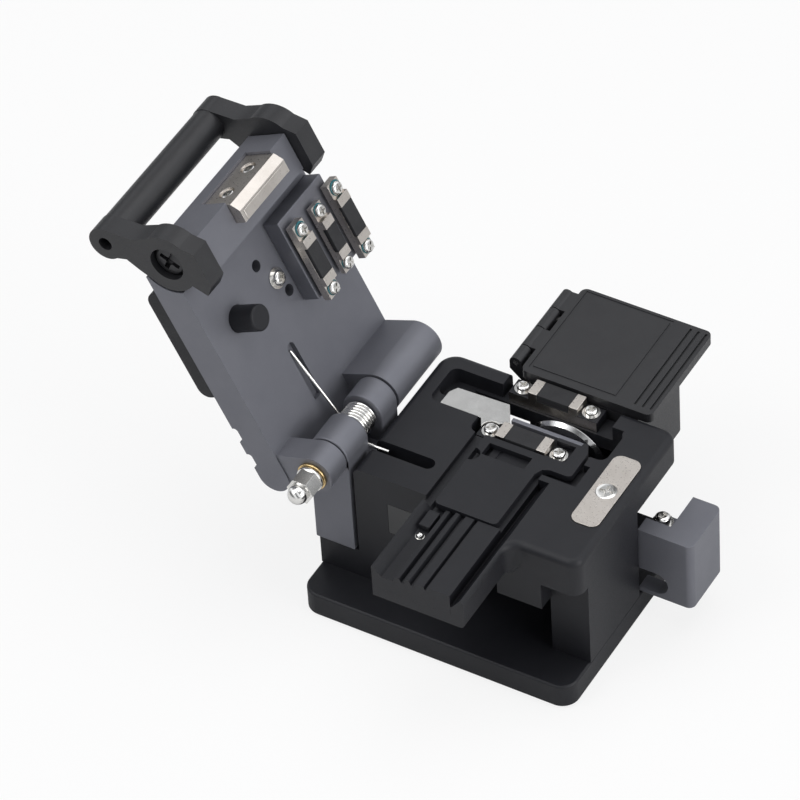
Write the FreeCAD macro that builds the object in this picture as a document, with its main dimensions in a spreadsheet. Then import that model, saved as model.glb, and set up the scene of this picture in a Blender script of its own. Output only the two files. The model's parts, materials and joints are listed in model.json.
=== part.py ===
import FreeCAD, Part
import Sketcher
import os
import re

from FreeCAD import Placement, Rotation, Vector

# Fibre cleaver with a hinged clamp lid, a sprung blade carriage, a fibre fixture and a scrap bin.
# Millimetres.  +Z up, +X to the thumb knob, +Y along the fibre to the scrap bin.
# Origin: middle of the base outline, on the surface that the rubber feet stand on.
# Lid pieces are drawn shut, with the hinge pin on the local Y axis, and then swung open.

doc = FreeCAD.newDocument("fibre_cleaver")
sheet = doc.addObject("Spreadsheet::Sheet", "dims")

SIZES = [
    # base and feet
    ("base_width", 83.2), ("base_depth", 63.4), ("base_thick", 7.5), ("base_corner", 5.0),
    ("base_edge", 0.5), ("thread_clear", 0.03), ("foot_proud", 0.8), ("foot_radius", 4.0), ("foot_recess", 1.2),
    ("foot_inset", 9.0), ("base_screw_inset", 5.6), ("base_screw_radius", 1.5),
    ("base_screw_head", 2.7), ("base_screw_sink", 3.0), ("base_screw_reach", 9.0),
    # body casting
    ("front_step", 11.9), ("body_height", 41.5), ("deck_thick", 9.4), ("deck_width", 70.9),
    ("deck_corner", 3.5), ("deck_back_corner", 5.5), ("column_width", 11.6), ("column_depth", 27.7), ("left_block", 21.5),
    ("overhang", 4.8), ("overhang_drop", 12.4), ("apron_width", 13.5), ("apron_drop", 9.3),
    ("tongue_width", 27.7), ("tongue_reach", 24.7), ("tongue_thick", 10.5), ("tongue_round", 1.6),
    ("tongue_seat", 3.6), ("knee_round", 4.0), ("channel_end_wall", 6.0), ("post_foot_height", 10.1),
    ("deck_slot_width", 4.0), ("deck_slot_length", 19.0),
    ("deck_slot_depth", 5.0), ("deck_slot_place", 9.2), ("label_width", 11.0),
    ("label_height", 11.0), ("label_thick", 0.3), ("label_inset", 9.0),
    # deck pocket and blade slot
    ("pocket_depth", 5.0), ("pocket_left", 5.0), ("pocket_right", 12.1), ("pocket_front", 40.6),
    ("pocket_back", 5.4), ("pocket_round", 2.4), ("blade_slot_left", 11.0),
    ("blade_slot_right", 12.9), ("blade_slot_front", 2.9), ("blade_slot_rear", 5.6),
    # fibre fixture and its cover
    ("fixture_width", 23.6), ("fixture_lip", 0.8), ("fixture_length", 56.5),
    ("fixture_clear", 0.05), ("vee_width", 3.4), ("vee_depth", 3.9), ("cover_thick", 1.5),
    ("cover_left", 3.2), ("cover_width", 18.9), ("cover_front", 27.8), ("cover_head", 7.6),
    ("cover_head_front", 24.4), ("cover_head_length", 13.1), ("cover_window", 4.6),
    ("cover_window_front", 21.6), ("cover_window_width", 11.0), ("cover_corner", 1.5),
    ("plunger_ball_radius", 1.3), ("stop_width", 3.2), ("stop_length", 6.0),
    ("stop_height", 1.9), ("stop_front", 19.8),
    # fibre line and lower clamps
    ("fibre_place", 6.4), ("front_clamp_place", 10.4), ("clamp_span", 18.3), ("clamp_width", 5.6),
    ("clamp_length", 27.0), ("clamp_base", 3.4), ("jaw_rise", 0.9), ("jaw_end_length", 2.7),
    ("pad_length", 9.8), ("clamp_screw_span", 20.8), ("clamp_screw_radius", 1.0),
    ("clamp_head_radius", 1.9), ("clamp_head_height", 1.3), ("clamp_washer_radius", 2.5),
    ("clamp_washer_thick", 0.4), ("clamp_screw_reach", 4.5), ("pad_gap", 0.1),
    ("guard_thick", 0.8), ("guard_ledge", 1.3), ("shield_thick", 1.3), ("shield_length", 21.5),
    ("shield_gap", 0.3),
    # steel catch plate on the deck
    ("catch_width", 8.3), ("catch_length", 27.3), ("catch_inset", 2.3), ("catch_place", 3.0),
    ("catch_thick", 1.4), ("catch_proud", 0.3), ("catch_corner", 2.6), ("catch_head", 2.9),
    ("catch_head_sink", 1.1), ("catch_screw_radius", 1.4), ("catch_screw_reach", 6.0),
    # blade carriage
    ("blade_radius", 12.6), ("blade_thick", 2.0), ("blade_rest", 13.9), ("blade_proud", 1.2),
    ("blade_bore", 2.5), ("blade_running", 0.04), ("blade_gap", 0.5), ("holder_thick", 2.8),
    ("holder_width", 12.0), ("holder_over", 4.0), ("carriage_length", 24.0),
    ("carriage_width", 19.0), ("carriage_height", 9.6), ("rail_width", 8.0), ("rail_height", 5.0),
    ("rail_length", 49.0), ("rail_gap", 0.3), ("arm_width", 6.0),
    ("arm_height", 4.0), ("hub_radius", 3.6), ("hub_thick", 1.4), ("spring_radius", 2.6),
    ("spring_wall", 0.8), ("spring_place", 7.6),
    # thumb knob
    ("knob_front_thick", 5.0), ("knob_reach", 15.7), ("knob_side_thick", 8.7),
    ("knob_depth", 17.6), ("knob_height", 23.5), ("knob_floor_gap", 1.1), ("knob_wall_gap", 0.9),
    ("knob_round", 2.0), ("knob_slot_height", 7.4), ("knob_slot_reach", 8.8),
    ("knob_slot_floor", 1.5), ("knob_shelf", 3.0), ("knob_screw_head", 2.3),
    ("knob_screw_height", 2.3), ("knob_washer", 3.0), ("knob_washer_thick", 0.5),
    ("knob_tuck", 0.6),
    # hinge
    ("hinge_left", 5.3), ("hinge_rise", 2.05), ("post_radius", 6.1), ("post_front_gap", 0.6),
    ("post_knuckle", 10.7), ("post_rear_knuckle", 8.2), ("spring_bay", 7.5),
    ("post_shoulder", 8.6), ("knuckle_gap", 0.4), ("shaft_radius", 2.5),
    ("shaft_running", 0.05), ("bush_radius", 3.6), ("bush_flange", 4.3),
    ("bush_flange_thick", 0.9), ("washer_radius", 3.9), ("washer_thick", 1.2), ("nut_flats", 7.0),
    ("nut_height", 5.0), ("dome_radius", 2.8), ("coil_radius", 4.7), ("coil_wire", 0.9),
    ("leg_start_x", 1.5), ("leg_start_z", 5.25), ("leg_length", 23.0), ("leg_lean", 77.5),
    ("lid_open_angle", 116.3),
    # lid
    ("lid_front_knuckle", 7.8), ("lid_lap", 0.4), ("lid_front_radius", 5.8), ("lid_rear_radius", 6.4),
    ("lid_length", 74.8), ("lid_width", 59.0), ("lid_offset", 9.1), ("lid_thick", 9.7),
    ("lug_reach", 7.1), ("boss_length", 11.7), ("boss_inset", 6.5), ("boss_drop", 7.3),
    ("lid_end_slope", 4.1), ("lid_slot_length", 16.5), ("lid_slot_width", 3.2),
    ("lid_slot_depth", 1.6), ("lid_slot_start", 8.4), ("lid_slot_place", 24.0),
    ("lid_hole_radius", 1.7), ("lid_hole_depth", 5.0), ("grip_start", 3.5), ("grip_step", 8.8),
    ("grip_width", 4.6), ("grip_sink", 1.4),
    ("lid_back_length", 35.1), ("lid_back_width", 57.0), ("lid_back_thick", 6.3),
    ("lid_back_start", 26.7), ("lid_back_sink", 0.8), ("lid_back_round", 3.2),
    # lid clamps
    ("carrier_start", 31.5), ("carrier_length", 25.5), ("carrier_width", 22.4),
    ("carrier_height", 5.4), ("upper_jaw", 1.2), ("anvil_width", 4.3),
    ("anvil_pad_length", 7.5), ("anvil_gap", 0.35), ("anvil_jaw", 1.5), ("upper_width", 5.0),
    ("upper_travel", 0.8), ("upper_gap", 0.35),
    # magnet and its holder
    ("holder_block_width", 22.6), ("holder_block_thick", 6.0), ("holder_block_end", 0.8),
    ("holder_block_top", 10.6), ("holder_bevel", 2.2), ("magnet_gap", 0.2),
    ("magnet_width", 3.2), ("magnet_depth", 3.0), ("magnet_inset", 1.2), ("magnet_proud", 0.1),
    ("magnet_screw_head", 2.0), ("magnet_screw_span", 11.0), ("magnet_screw_reach", 8.0),
    # hold-down plunger in the lid
    ("plunger_radius", 3.7), ("plunger_reach", 8.1), ("plunger_stem", 2.0),
    ("plunger_place_x", 43.9), ("plunger_place_y", 12.5), ("plunger_travel", 1.6),
    ("plunger_clear", 0.1),
    # carrying handle
    ("pivot_back", 3.1), ("pivot_drop", 0.1), ("notch_radius", 9.5), ("arm_side_gap", 0.2),
    ("boss_radius", 8.8), ("bar_radius", 4.8), ("bar_over_x", 7.9), ("bar_over_z", 17.3),
    ("cap_radius", 5.0), ("handle_head", 4.7), ("handle_head_thick", 1.6),
    ("handle_screw_radius", 2.0), ("handle_screw_reach", 9.0), ("handle_sink", 1.6),
    ("hook_drop", 10.9), ("hook_back", 10.9), ("hook_tip", 8.2), ("bar_hole", 2.0),
    ("bar_hole_depth", 5.0),
    # scrap bin
    ("bin_width", 33.5), ("bin_depth", 25.8), ("bin_height", 25.0), ("bin_wall", 1.6),
    ("bin_gap", 0.3), ("bin_left", 4.4), ("bin_mouth_height", 14.0), ("flap_width", 40.0),
    ("flap_depth", 36.2), ("flap_thick", 3.0), ("flap_left", 6.8), ("flap_rise", 1.6),
    ("flap_round", 2.0), ("flap_knuckle", 1.9), ("flap_pin", 0.8), ("flap_pin_running", 0.05),
    ("flap_hinge_out", 3.1), ("flap_knuckle_length", 8.0),
]

for row, (alias, value) in enumerate(SIZES, start=1):
    sheet.set("A%d" % row, alias)
    sheet.set("B%d" % row, str(value))
    sheet.setAlias("B%d" % row, alias)
doc.recompute()

# Places that follow from the sizes.
PLACES = {
    "base_right": "base_width / 2",
    "base_front": "-base_depth / 2",
    "base_back": "base_depth / 2",
    "base_top": "foot_proud + base_thick",
    "deck_top": "base_top + body_height",
    "deck_under": "deck_top - deck_thick",
    "deck_left": "base_right - deck_width",
    "wall_front": "base_front + front_step",
    "deck_front": "wall_front - overhang",
    "channel_front": "wall_front + column_depth",
    "column_left": "base_right - column_width",
    "tongue_left": "fibre_place - 13.2",
    "tongue_right": "tongue_left + tongue_width",
    "tongue_front": "deck_front - tongue_reach",
    "tongue_floor": "deck_top - tongue_thick",
    "seat_top": "tongue_floor + tongue_seat",
    "pocket_floor": "deck_top - pocket_depth",
    "fixture_right": "tongue_left + fixture_width",
    "rear_clamp_place": "front_clamp_place + clamp_span",
    "pad_top": "pocket_floor + clamp_base + jaw_height",
    "jaw_height": "pocket_depth - clamp_base + jaw_rise",
    "blade_y": "front_clamp_place + clamp_span / 2",
    "blade_z": "deck_top + blade_proud - blade_radius",
    "rail_top": "base_top + rail_height",
    "hinge_x": "-base_right + hinge_left",
    "hinge_z": "deck_top + hinge_rise",
    "post_front": "wall_front - post_front_gap",
    "post_bay": "post_front + post_knuckle",
    "post_rear": "post_bay + spring_bay",
    "post_back": "post_rear + post_rear_knuckle",
    "lid_front": "post_front - knuckle_gap - lid_front_knuckle - lid_lap",
    "lid_back": "lid_front + lid_width",
    "lid_outer": "lid_offset + lid_thick",
    "boss_front": "lid_front + boss_inset",
    "boss_back": "lid_back - boss_inset",
    "pivot_x": "lid_length - pivot_back",
    "pivot_z": "lid_offset + pivot_drop",
    "catch_x": "base_right - catch_inset - catch_width / 2",
    "catch_top": "deck_top + catch_proud",
    "magnet_z": "catch_top + magnet_gap - hinge_z",
    "upper_pad_z": "pad_top + pad_gap - hinge_z",
    "anvil_pad_z": "deck_top + blade_proud + anvil_gap - hinge_z",
    "guard_z": "deck_top - guard_ledge",
    "shield_y": "blade_y - blade_slot_front - shield_gap - shield_thick",
    "knob_left": "base_right - knob_tuck",
    "knob_front": "channel_front + knob_wall_gap",
    "knob_bottom": "base_top + knob_floor_gap",
    "knob_right": "base_right + knob_reach",
    "flap_bottom": "deck_top + flap_rise - flap_thick",
    "flap_x": "-flap_left",
    "bin_front": "base_back + bin_gap",
    "bin_top": "flap_bottom - bin_gap",
    "flap_hinge_x": "flap_x - flap_hinge_out",
    "flap_hinge_z": "flap_bottom + flap_thick / 2",
}

ALIASES = {alias for alias, _ in SIZES}


def ex(text):
    """Write a formula of sizes and places as an expression on the sheet."""
    def word(match):
        name = match.group(0)
        if name in ALIASES:
            return "dims." + name
        return "(" + ex(PLACES[name]) + ")"
    return re.sub(r"[a-z][a-z_]+", word, str(text))


def value(text):
    """The present value of a formula, for the features whose input is a plain list."""
    return float(sheet.evalExpression(ex(text)))


def block(name, x_pair, y_pair, z_pair):
    box = doc.addObject("Part::Box", name)
    for side, axis, pair in (("Length", "x", x_pair), ("Width", "y", y_pair), ("Height", "z", z_pair)):
        box.setExpression(side, ex("(%s) - (%s)" % (pair[1], pair[0])))
        box.setExpression("Placement.Base." + axis, ex(pair[0]))
    return box


TURNS = {
    "x": Rotation(Vector(0, 1, 0), 90),
    "y": Rotation(Vector(1, 0, 0), -90),
    "z": Rotation(),
}


def rod(name, axis, radius, centre, pair, kind="Part::Cylinder"):
    """A cylinder along x, y or z; centre gives the other two coordinates in order."""
    body = doc.addObject(kind, name)
    body.Placement = Placement(Vector(), TURNS[axis])
    body.setExpression("Radius", ex(radius))
    body.setExpression("Height", ex("(%s) - (%s)" % (pair[1], pair[0])))
    others = [letter for letter in "xyz" if letter != axis]
    body.setExpression("Placement.Base." + axis, ex(pair[0]))
    body.setExpression("Placement.Base." + others[0], ex(centre[0]))
    body.setExpression("Placement.Base." + others[1], ex(centre[1]))
    return body


def tube(name, axis, outer, inner, centre, pair):
    shell = rod(name + "_outer", axis, outer, centre, pair)
    bore = rod(name + "_bore", axis, inner, centre, ("(%s) - 1" % pair[0], "(%s) + 1" % pair[1]))
    return cut(name, shell, bore)


def prism(name, plane, points, pair):
    """A padded polygon.  plane xy is padded along +Z, plane xz along Y; pair gives the two ends."""
    body = doc.addObject("PartDesign::Body", name)
    sketch = body.newObject("Sketcher::SketchObject", name + "_outline")
    role = {"xy": "XY_Plane", "xz": "XZ_Plane"}[plane]
    origin_plane = [item for item in body.Origin.OriginFeatures if item.Role == role][0]
    sketch.AttachmentSupport = [(origin_plane, "")]
    sketch.MapMode = "FlatFace"
    start = "(%s)" % pair[0] if plane == "xy" else "-(%s)" % pair[1]
    sketch.setExpression("AttachmentOffset.Base.z", ex(start))
    corners = [Vector(value(u), value(v), 0) for u, v in points]
    count = len(corners)
    for index in range(count):
        sketch.addGeometry(Part.LineSegment(corners[index], corners[(index + 1) % count]), False)
    constraints = 0
    for index in range(count):
        following = (index + 1) % count
        sketch.addConstraint(Sketcher.Constraint("Coincident", index, 2, following, 1))
        constraints += 1
    for index, (u, v) in enumerate(points):
        for kind, text, size in (("DistanceX", u, corners[index].x), ("DistanceY", v, corners[index].y)):
            sketch.addConstraint(Sketcher.Constraint(kind, -1, 1, index, 1, size))
            sketch.setExpression("Constraints[%d]" % constraints, ex(text))
            constraints += 1
    pad = body.newObject("PartDesign::Pad", name + "_pad")
    pad.Profile = sketch
    pad.setExpression("Length", ex("(%s) - (%s)" % (pair[1], pair[0])))
    body.Tip = pad
    return body


def cut(name, base, *tools):
    body = base
    for number, tool in enumerate(tools):
        last = number == len(tools) - 1
        step = doc.addObject("Part::Cut", name if last else "%s_step%d" % (name, number))
        step.Base = body
        step.Tool = tool
        step.Refine = True
        body = step
    return body


def fuse(name, *parts):
    body = doc.addObject("Part::MultiFuse", name)
    body.Shapes = list(parts)
    body.Refine = True
    return body


def group(name, parts):
    body = doc.addObject("Part::Compound", name)
    body.Links = list(parts)
    return body


def soften(name, base, radius, wanted, kind="Part::Fillet"):
    """Round or bevel the edges of base for which wanted(edge) is true."""
    doc.recompute()
    size = value(radius)
    edges = [(number, size, size) for number, edge in enumerate(base.Shape.Edges, start=1) if wanted(edge)]
    body = doc.addObject(kind, name)
    body.Base = base
    body.Edges = edges
    return body


def runs_along(edge, axis):
    if len(edge.Vertexes) < 2:
        return False
    span = edge.Vertexes[1].Point - edge.Vertexes[0].Point
    return abs(abs(getattr(span, axis)) - span.Length) < 1e-6 and span.Length > 1e-6


def at(edge, **places):
    """True if the middle of the edge's box lies at the given coordinates."""
    box = edge.BoundBox
    middle = {"x": (box.XMin + box.XMax) / 2, "y": (box.YMin + box.YMax) / 2, "z": (box.ZMin + box.ZMax) / 2}
    return all(abs(middle[axis] - value(text)) < 1e-3 for axis, text in places.items())


NODES = []


def node(label, body):
    body.Label = label
    NODES.append(body)
    return body


def on_lid(label, body):
    """Swing a piece that was drawn shut about the hinge pin into the open position."""
    if body.TypeId in ("Part::Box", "Part::Cylinder"):
        body.Label = label + "_shut"
        body = group(label + "_swung", [body])
    body.Placement = Placement(Vector(), Rotation(Vector(0, -1, 0), value("lid_open_angle")))
    body.setExpression("Placement.Base.x", ex("hinge_x"))
    body.setExpression("Placement.Base.z", ex("hinge_z"))
    body.setExpression("Placement.Rotation.Angle", ex("lid_open_angle"))
    return node(label, body)


def four_places(inset_x, inset_y):
    for side in ("-1", "1"):
        for end in ("-1", "1"):
            yield ("%s * (base_right - (%s))" % (side, inset_x), "%s * (base_back - (%s))" % (end, inset_y))


# --- base plate, feet and the screws that hold the body down -------------------------------

def make_base():
    plate = block("base_block", ("-base_right", "base_right"), ("base_front", "base_back"),
                  ("foot_proud", "base_top"))
    plate = soften("base_round", plate, "base_corner", lambda edge: runs_along(edge, "z"))
    plate = soften("base_bevel", plate, "base_edge", lambda edge: at(edge, z="base_top"), "Part::Chamfer")
    tools = []
    feet = []
    for number, (x, y) in enumerate(four_places("foot_inset", "foot_inset")):
        tools.append(rod("foot_seat%d" % number, "z", "foot_radius + 0.1", (x, y),
                         ("foot_proud - 1", "foot_proud + foot_recess")))
        feet.append(rod("foot%d" % number, "z", "foot_radius", (x, y), ("0", "foot_proud + foot_recess")))
    screws = []
    places = [("column_left + column_width / 2", "wall_front + base_screw_inset"),
              ("column_left + column_width / 2", "channel_front - base_screw_inset"),
              ("deck_left + base_screw_inset", "wall_front + base_screw_inset"),
              ("deck_left + base_screw_inset", "channel_front - base_screw_inset")]
    for number, (x, y) in enumerate(places):
        head_top = "foot_proud + base_screw_sink"
        tools.append(rod("screw_sink%d" % number, "z", "base_screw_head + 0.2", (x, y),
                         ("foot_proud - 1", head_top)))
        tools.append(rod("screw_way%d" % number, "z", "base_screw_radius + 0.1", (x, y),
                         ("foot_proud", "base_top + 1")))
        head = rod("screw_head%d" % number, "z", "base_screw_head", (x, y), ("foot_proud + 0.6", head_top))
        stem = rod("screw_stem%d" % number, "z", "base_screw_radius", (x, y),
                   (head_top, "base_top + base_screw_reach"))
        screws.append(fuse("base_screw%d" % number, head, stem))
    node("base_plate", cut("base_plate", plate, *tools))
    node("rubber_feet", group("rubber_feet", feet))
    node("base_screws", group("base_screws", screws))
    return places


# --- body casting --------------------------------------------------------------------------

def make_body(screw_places):
    deck = block("deck_slab", ("deck_left", "base_right"), ("wall_front", "base_back"),
                 ("deck_under", "deck_top"))
    left = block("left_block", ("deck_left", "deck_left + left_block"), ("wall_front", "base_back"),
                 ("base_top", "deck_under"))
    column = block("column", ("column_left", "base_right"), ("wall_front", "channel_front"),
                   ("base_top", "deck_under"))
    rear = block("inner_web", ("deck_left + left_block", "column_left"),
                 ("channel_front - 4", "channel_front"), ("base_top", "deck_under"))
    brow = block("brow", ("column_left - apron_width", "base_right"), ("deck_front", "wall_front"),
                 ("deck_top - overhang_drop", "deck_top"))
    apron = block("apron", ("column_left - apron_width", "column_left"), ("deck_front", "wall_front + 3"),
                  ("deck_top - overhang_drop - apron_drop", "deck_top - overhang_drop"))
    tongue = block("tongue", ("tongue_left", "tongue_right"), ("tongue_front", "wall_front"),
                   ("tongue_floor", "deck_top"))
    foot = block("post_foot", ("-base_right", "deck_left"), ("wall_front", "base_back - base_corner"),
                 ("base_top", "base_top + post_foot_height"))
    mass = fuse("body_mass", deck, left, column, rear, brow, apron, tongue, foot)
    mass = soften("body_corners", mass, "deck_corner",
                  lambda edge: runs_along(edge, "z") and (
                      at(edge, x="base_right", y="deck_front", z="deck_top - overhang_drop / 2")
                      or at(edge, x="base_right", y="base_back", z="deck_top - deck_thick / 2")))
    mass = soften("body_back_corner", mass, "deck_back_corner",
                  lambda edge: runs_along(edge, "z") and at(edge, x="deck_left", y="base_back"))
    mass = soften("body_knee", mass, "knee_round",
                  lambda edge: runs_along(edge, "z") and at(edge, x="tongue_right", y="deck_front"))
    mass = soften("body_brow", mass, "2.2",
                  lambda edge: runs_along(edge, "x") and at(edge, y="deck_front", z="deck_top"))
    mass = soften("body_tongue", mass, "tongue_round",
                  lambda edge: runs_along(edge, "y") and at(edge, x="tongue_right", z="tongue_floor"))
    tools = []
    # channel in which the blade carriage runs, open to the right and to the bin
    tools.append(block("channel", ("deck_left + channel_end_wall", "base_right + 1"),
                       ("channel_front", "base_back + 1"), ("base_top - 1", "deck_under")))
    # seat of the fixture along the tongue and under the deck
    tools.append(block("fixture_seat", ("tongue_left - 1", "fixture_right + fixture_clear"),
                       ("tongue_front - 1", "wall_front"), ("seat_top", "deck_top + 1")))
    tools.append(block("fixture_bed", ("tongue_left - fixture_clear", "fixture_right + fixture_clear"),
                       ("wall_front - 1", "tongue_front + fixture_length + fixture_clear"),
                       ("seat_top", "deck_top + 1")))
    # vee beside the fixture, which takes the thumb nail that lifts it out
    tools.append(prism("vee", "xz",
                       [("fixture_right", "deck_top - vee_depth"), ("fixture_right + 0.4", "deck_top - vee_depth"),
                        ("fixture_right + vee_width", "deck_top + 0.01"), ("fixture_right", "deck_top + 0.01")],
                       ("tongue_front - 1", "tongue_front + cover_front + cover_head_front - 4")))
    # pocket round the clamps, and the bay of the rear clamp
    tools.append(pocket_shape())
    tools.append(block("blade_slot", ("-blade_slot_left - 6", "base_right - blade_slot_right"),
                       ("blade_y - blade_slot_front", "blade_y + blade_slot_rear"),
                       ("deck_under - 1", "deck_top")))
    tools.append(block("cover_bay", ("fixture_right - 1", "fixture_right + cover_head + 2.6"),
                       ("cover_head_y - 2", "pocket_y"), ("deck_top - cover_thick - 1", "deck_top + 1")))
    tools.append(block("spring_slot", ("deck_left - 1", "deck_left + deck_slot_length - deck_slot_width / 2"),
                       ("-deck_slot_place - deck_slot_width / 2", "-deck_slot_place + deck_slot_width / 2"),
                       ("deck_top - deck_slot_depth", "deck_top + 1")))
    tools.append(rod("spring_slot_end", "z", "deck_slot_width / 2",
                     ("deck_left + deck_slot_length - deck_slot_width / 2", "-deck_slot_place"),
                     ("deck_top - deck_slot_depth", "deck_top + 1")))
    catch = block("catch_seat_block", ("catch_x - catch_width / 2 - 0.1", "catch_x + catch_width / 2 + 0.1"),
                  ("catch_place - catch_length / 2 - 0.1", "catch_place + catch_length / 2 + 0.1"),
                  ("catch_top - catch_thick", "deck_top + 1"))
    tools.append(soften("catch_seat", catch, "catch_corner + 0.1", lambda edge: runs_along(edge, "z")))
    tools.append(rod("catch_thread", "z", "catch_screw_radius + thread_clear", ("catch_x", "catch_place"),
                     ("catch_top - catch_screw_reach", "deck_top")))
    for number, (x, y) in enumerate(screw_places):
        tools.append(rod("body_thread%d" % number, "z", "base_screw_radius + thread_clear", (x, y),
                         ("base_top - 1", "base_top + base_screw_reach")))
    for number, (x, y) in enumerate(clamp_screw_places()):
        tools.append(rod("clamp_thread%d" % number, "z", "clamp_screw_radius + thread_clear", (x, y),
                         ("pocket_floor + clamp_base + clamp_washer_thick - clamp_screw_reach", "pocket_floor + 1")))
    tools.append(block("label_seat", ("label_x", "label_x + label_width"),
                       ("wall_front - 1", "wall_front + label_thick"),
                       ("deck_top - label_inset - label_height", "deck_top - label_inset")))
    node("body_casting", cut("body_casting", mass, *tools))
    label = block("label_plate", ("label_x + 0.1", "label_x + label_width - 0.1"),
                  ("wall_front", "wall_front + label_thick"),
                  ("deck_top - label_inset - label_height + 0.1", "deck_top - label_inset - 0.1"))
    node("label_plate", label)


PLACES["label_x"] = "deck_left + 10"
PLACES["cover_head_y"] = "tongue_front + cover_front + cover_head_front"
PLACES["pocket_y"] = "base_back - pocket_front + 18"
PLACES["pocket_x"] = "deck_left + pocket_left"
PLACES["pocket_end"] = "base_right - pocket_right"


def pocket_shape():
    low = "pocket_floor"
    top = "deck_top + 1"
    bay_front = "front_clamp_place - clamp_width / 2 - 0.6"
    bays = [
        block("pocket_main", ("fibre_place - clamp_length / 2 + 1", "pocket_end"),
              ("blade_y - 7", "blade_y + 5"), (low, top)),
        block("pocket_clamps", ("fibre_place - clamp_length / 2 - 1.9", "pocket_end - 4.4"),
              (bay_front, "base_back + 3"), (low, top)),
        block("pocket_guard", ("pocket_x", "fibre_place"),
              ("blade_y - blade_slot_front", "base_back - pocket_back"), (low, top)),
        block("pocket_ledge", ("pocket_x", "fibre_place"),
              ("blade_y - 7", "base_back - pocket_back"), ("guard_z", top)),
    ]
    rounded = [soften(bay.Name + "_round", bay, "pocket_round", lambda edge: runs_along(edge, "z")) for bay in bays]
    return fuse("pocket", *rounded)


def clamp_screw_places():
    for y in ("front_clamp_place", "rear_clamp_place"):
        for side in ("-1", "1"):
            yield ("fibre_place + %s * clamp_screw_span / 2" % side, y)


# --- fibre fixture, cover, stop and ball ---------------------------------------------------

def make_fixture():
    left = "tongue_left"
    top = "deck_top"
    outline = [
        (left, "seat_top"), ("fixture_right", "seat_top"), ("fixture_right", top),
        (left + " + 16.9", top), (left + " + 16.6", top + " - 1.2"), (left + " + 16.1", top + " - 1.2"),
        (left + " + 15.8", top), (left + " + 13.2", top), (left + " + 12.8", top + " - 1.4"),
        (left + " + 12.0", top + " - 1.4"), (left + " + 11.4", top), (left + " + 10.2", top),
        (left + " + 9.8", top + " - 1.8"), (left + " + 9.0", top + " - 1.8"),
        (left + " + 8.4", top + " - 0.5"), (left + " + 7.2", top + " - 0.5"),
        (left + " + 6.4", top + " - 2.4"), (left + " + 3.0", top + " - 2.4"),
        (left + " + fixture_lip", top + " + 0.3"), (left, top + " + 0.3"),
    ]
    back = "tongue_front + fixture_length"
    bed = prism("fixture_profile", "xz", outline, ("tongue_front", back))
    shelf = block("fixture_shelf", (left + " - 1", "fixture_right + 1"),
                  ("tongue_front + cover_front - 0.3", back + " + 1"),
                  ("deck_top - cover_thick", "deck_top + 2"))
    ball = rod("ball_way", "z", "plunger_ball_radius + 0.05", (left + " + 4.7", "ball_y"),
               ("deck_top - 5.5", "deck_top"))
    node("fibre_fixture", cut("fibre_fixture", bed, shelf, ball))
    barrel = rod("plunger_barrel", "z", "plunger_ball_radius", (left + " + 4.7", "ball_y"),
                 ("deck_top - 4.6", "deck_top - 2.4"))
    tip = doc.addObject("Part::Sphere", "plunger_tip")
    tip.setExpression("Radius", ex("plunger_ball_radius - 0.2"))
    tip.setExpression("Placement.Base.x", ex(left + " + 4.7"))
    tip.setExpression("Placement.Base.y", ex("ball_y"))
    tip.setExpression("Placement.Base.z", ex("deck_top - 2.4"))
    node("ball_plunger", fuse("ball_plunger", barrel, tip))
    stop = block("cable_stop", (left + " + 3.1", left + " + 3.1 + stop_width"),
                 ("tongue_front + stop_front", "tongue_front + stop_front + stop_length"),
                 ("deck_top - 2.4", "deck_top - 2.4 + stop_height"))
    node("cable_stop", stop)
    make_cover()


PLACES["ball_y"] = "tongue_front + 17.6"
PLACES["cover_x"] = "tongue_left + cover_left"
PLACES["cover_y"] = "tongue_front + cover_front"


def make_cover():
    right = "cover_x + cover_width"
    head = "fixture_right + cover_head"
    outline = [("cover_x", "cover_y"), (right, "cover_y"), (right, "cover_head_y - 3"),
               (right + " + 1", "cover_head_y - 0.8"), (right + " + 3", "cover_head_y"),
               (head, "cover_head_y"), (head, "cover_head_y + cover_head_length - 3.4"),
               (head + " - 1.6", "cover_head_y + cover_head_length"),
               ("cover_x", "cover_head_y + cover_head_length")]
    plate = prism("cover_blank", "xy", outline, ("deck_top - cover_thick", "deck_top + 0.5"))
    plate = soften("cover_round", plate, "cover_corner",
                   lambda edge: runs_along(edge, "z") and (at(edge, x="cover_x", y="cover_y")
                                                           or at(edge, x=right, y="cover_y")
                                                           or at(edge, x=head, y="cover_head_y")))
    low, top = "deck_top - cover_thick - 1", "deck_top + 2"
    window = block("cover_window", ("fibre_place - cover_window_width / 2 - 2", "fibre_place + cover_window_width / 2"),
                   ("cover_y + cover_window_front", "cover_y + cover_window_front + cover_window"), (low, top))
    clamp = block("cover_clamp_bay", ("cover_x - 1", "fibre_place + pad_length / 2 + jaw_end_length + 0.5"),
                  ("front_clamp_place - clamp_width / 2 - 0.6", "cover_head_y + cover_head_length + 1"), (low, top))
    screw = block("cover_screw_bay", ("fibre_place", "fibre_place + clamp_length / 2 + 0.5"),
                  ("front_clamp_place - clamp_width / 2 - 0.4", "front_clamp_place + clamp_width / 2 + 0.4"),
                  (low, top))
    bar = block("cover_shield_bay", ("fibre_place", "fibre_place - 6.4 + shield_length"),
                ("shield_y - 0.3", "cover_head_y + cover_head_length + 1"), (low, top))
    half = rod("cover_notch", "z", "2.4", ("cover_x", "cover_y + cover_window_front - 1"), (low, top))
    node("fixture_cover", cut("fixture_cover", plate, window, clamp, screw, bar, half))


# --- lower clamps, guard, shield and catch plate -------------------------------------------

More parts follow.
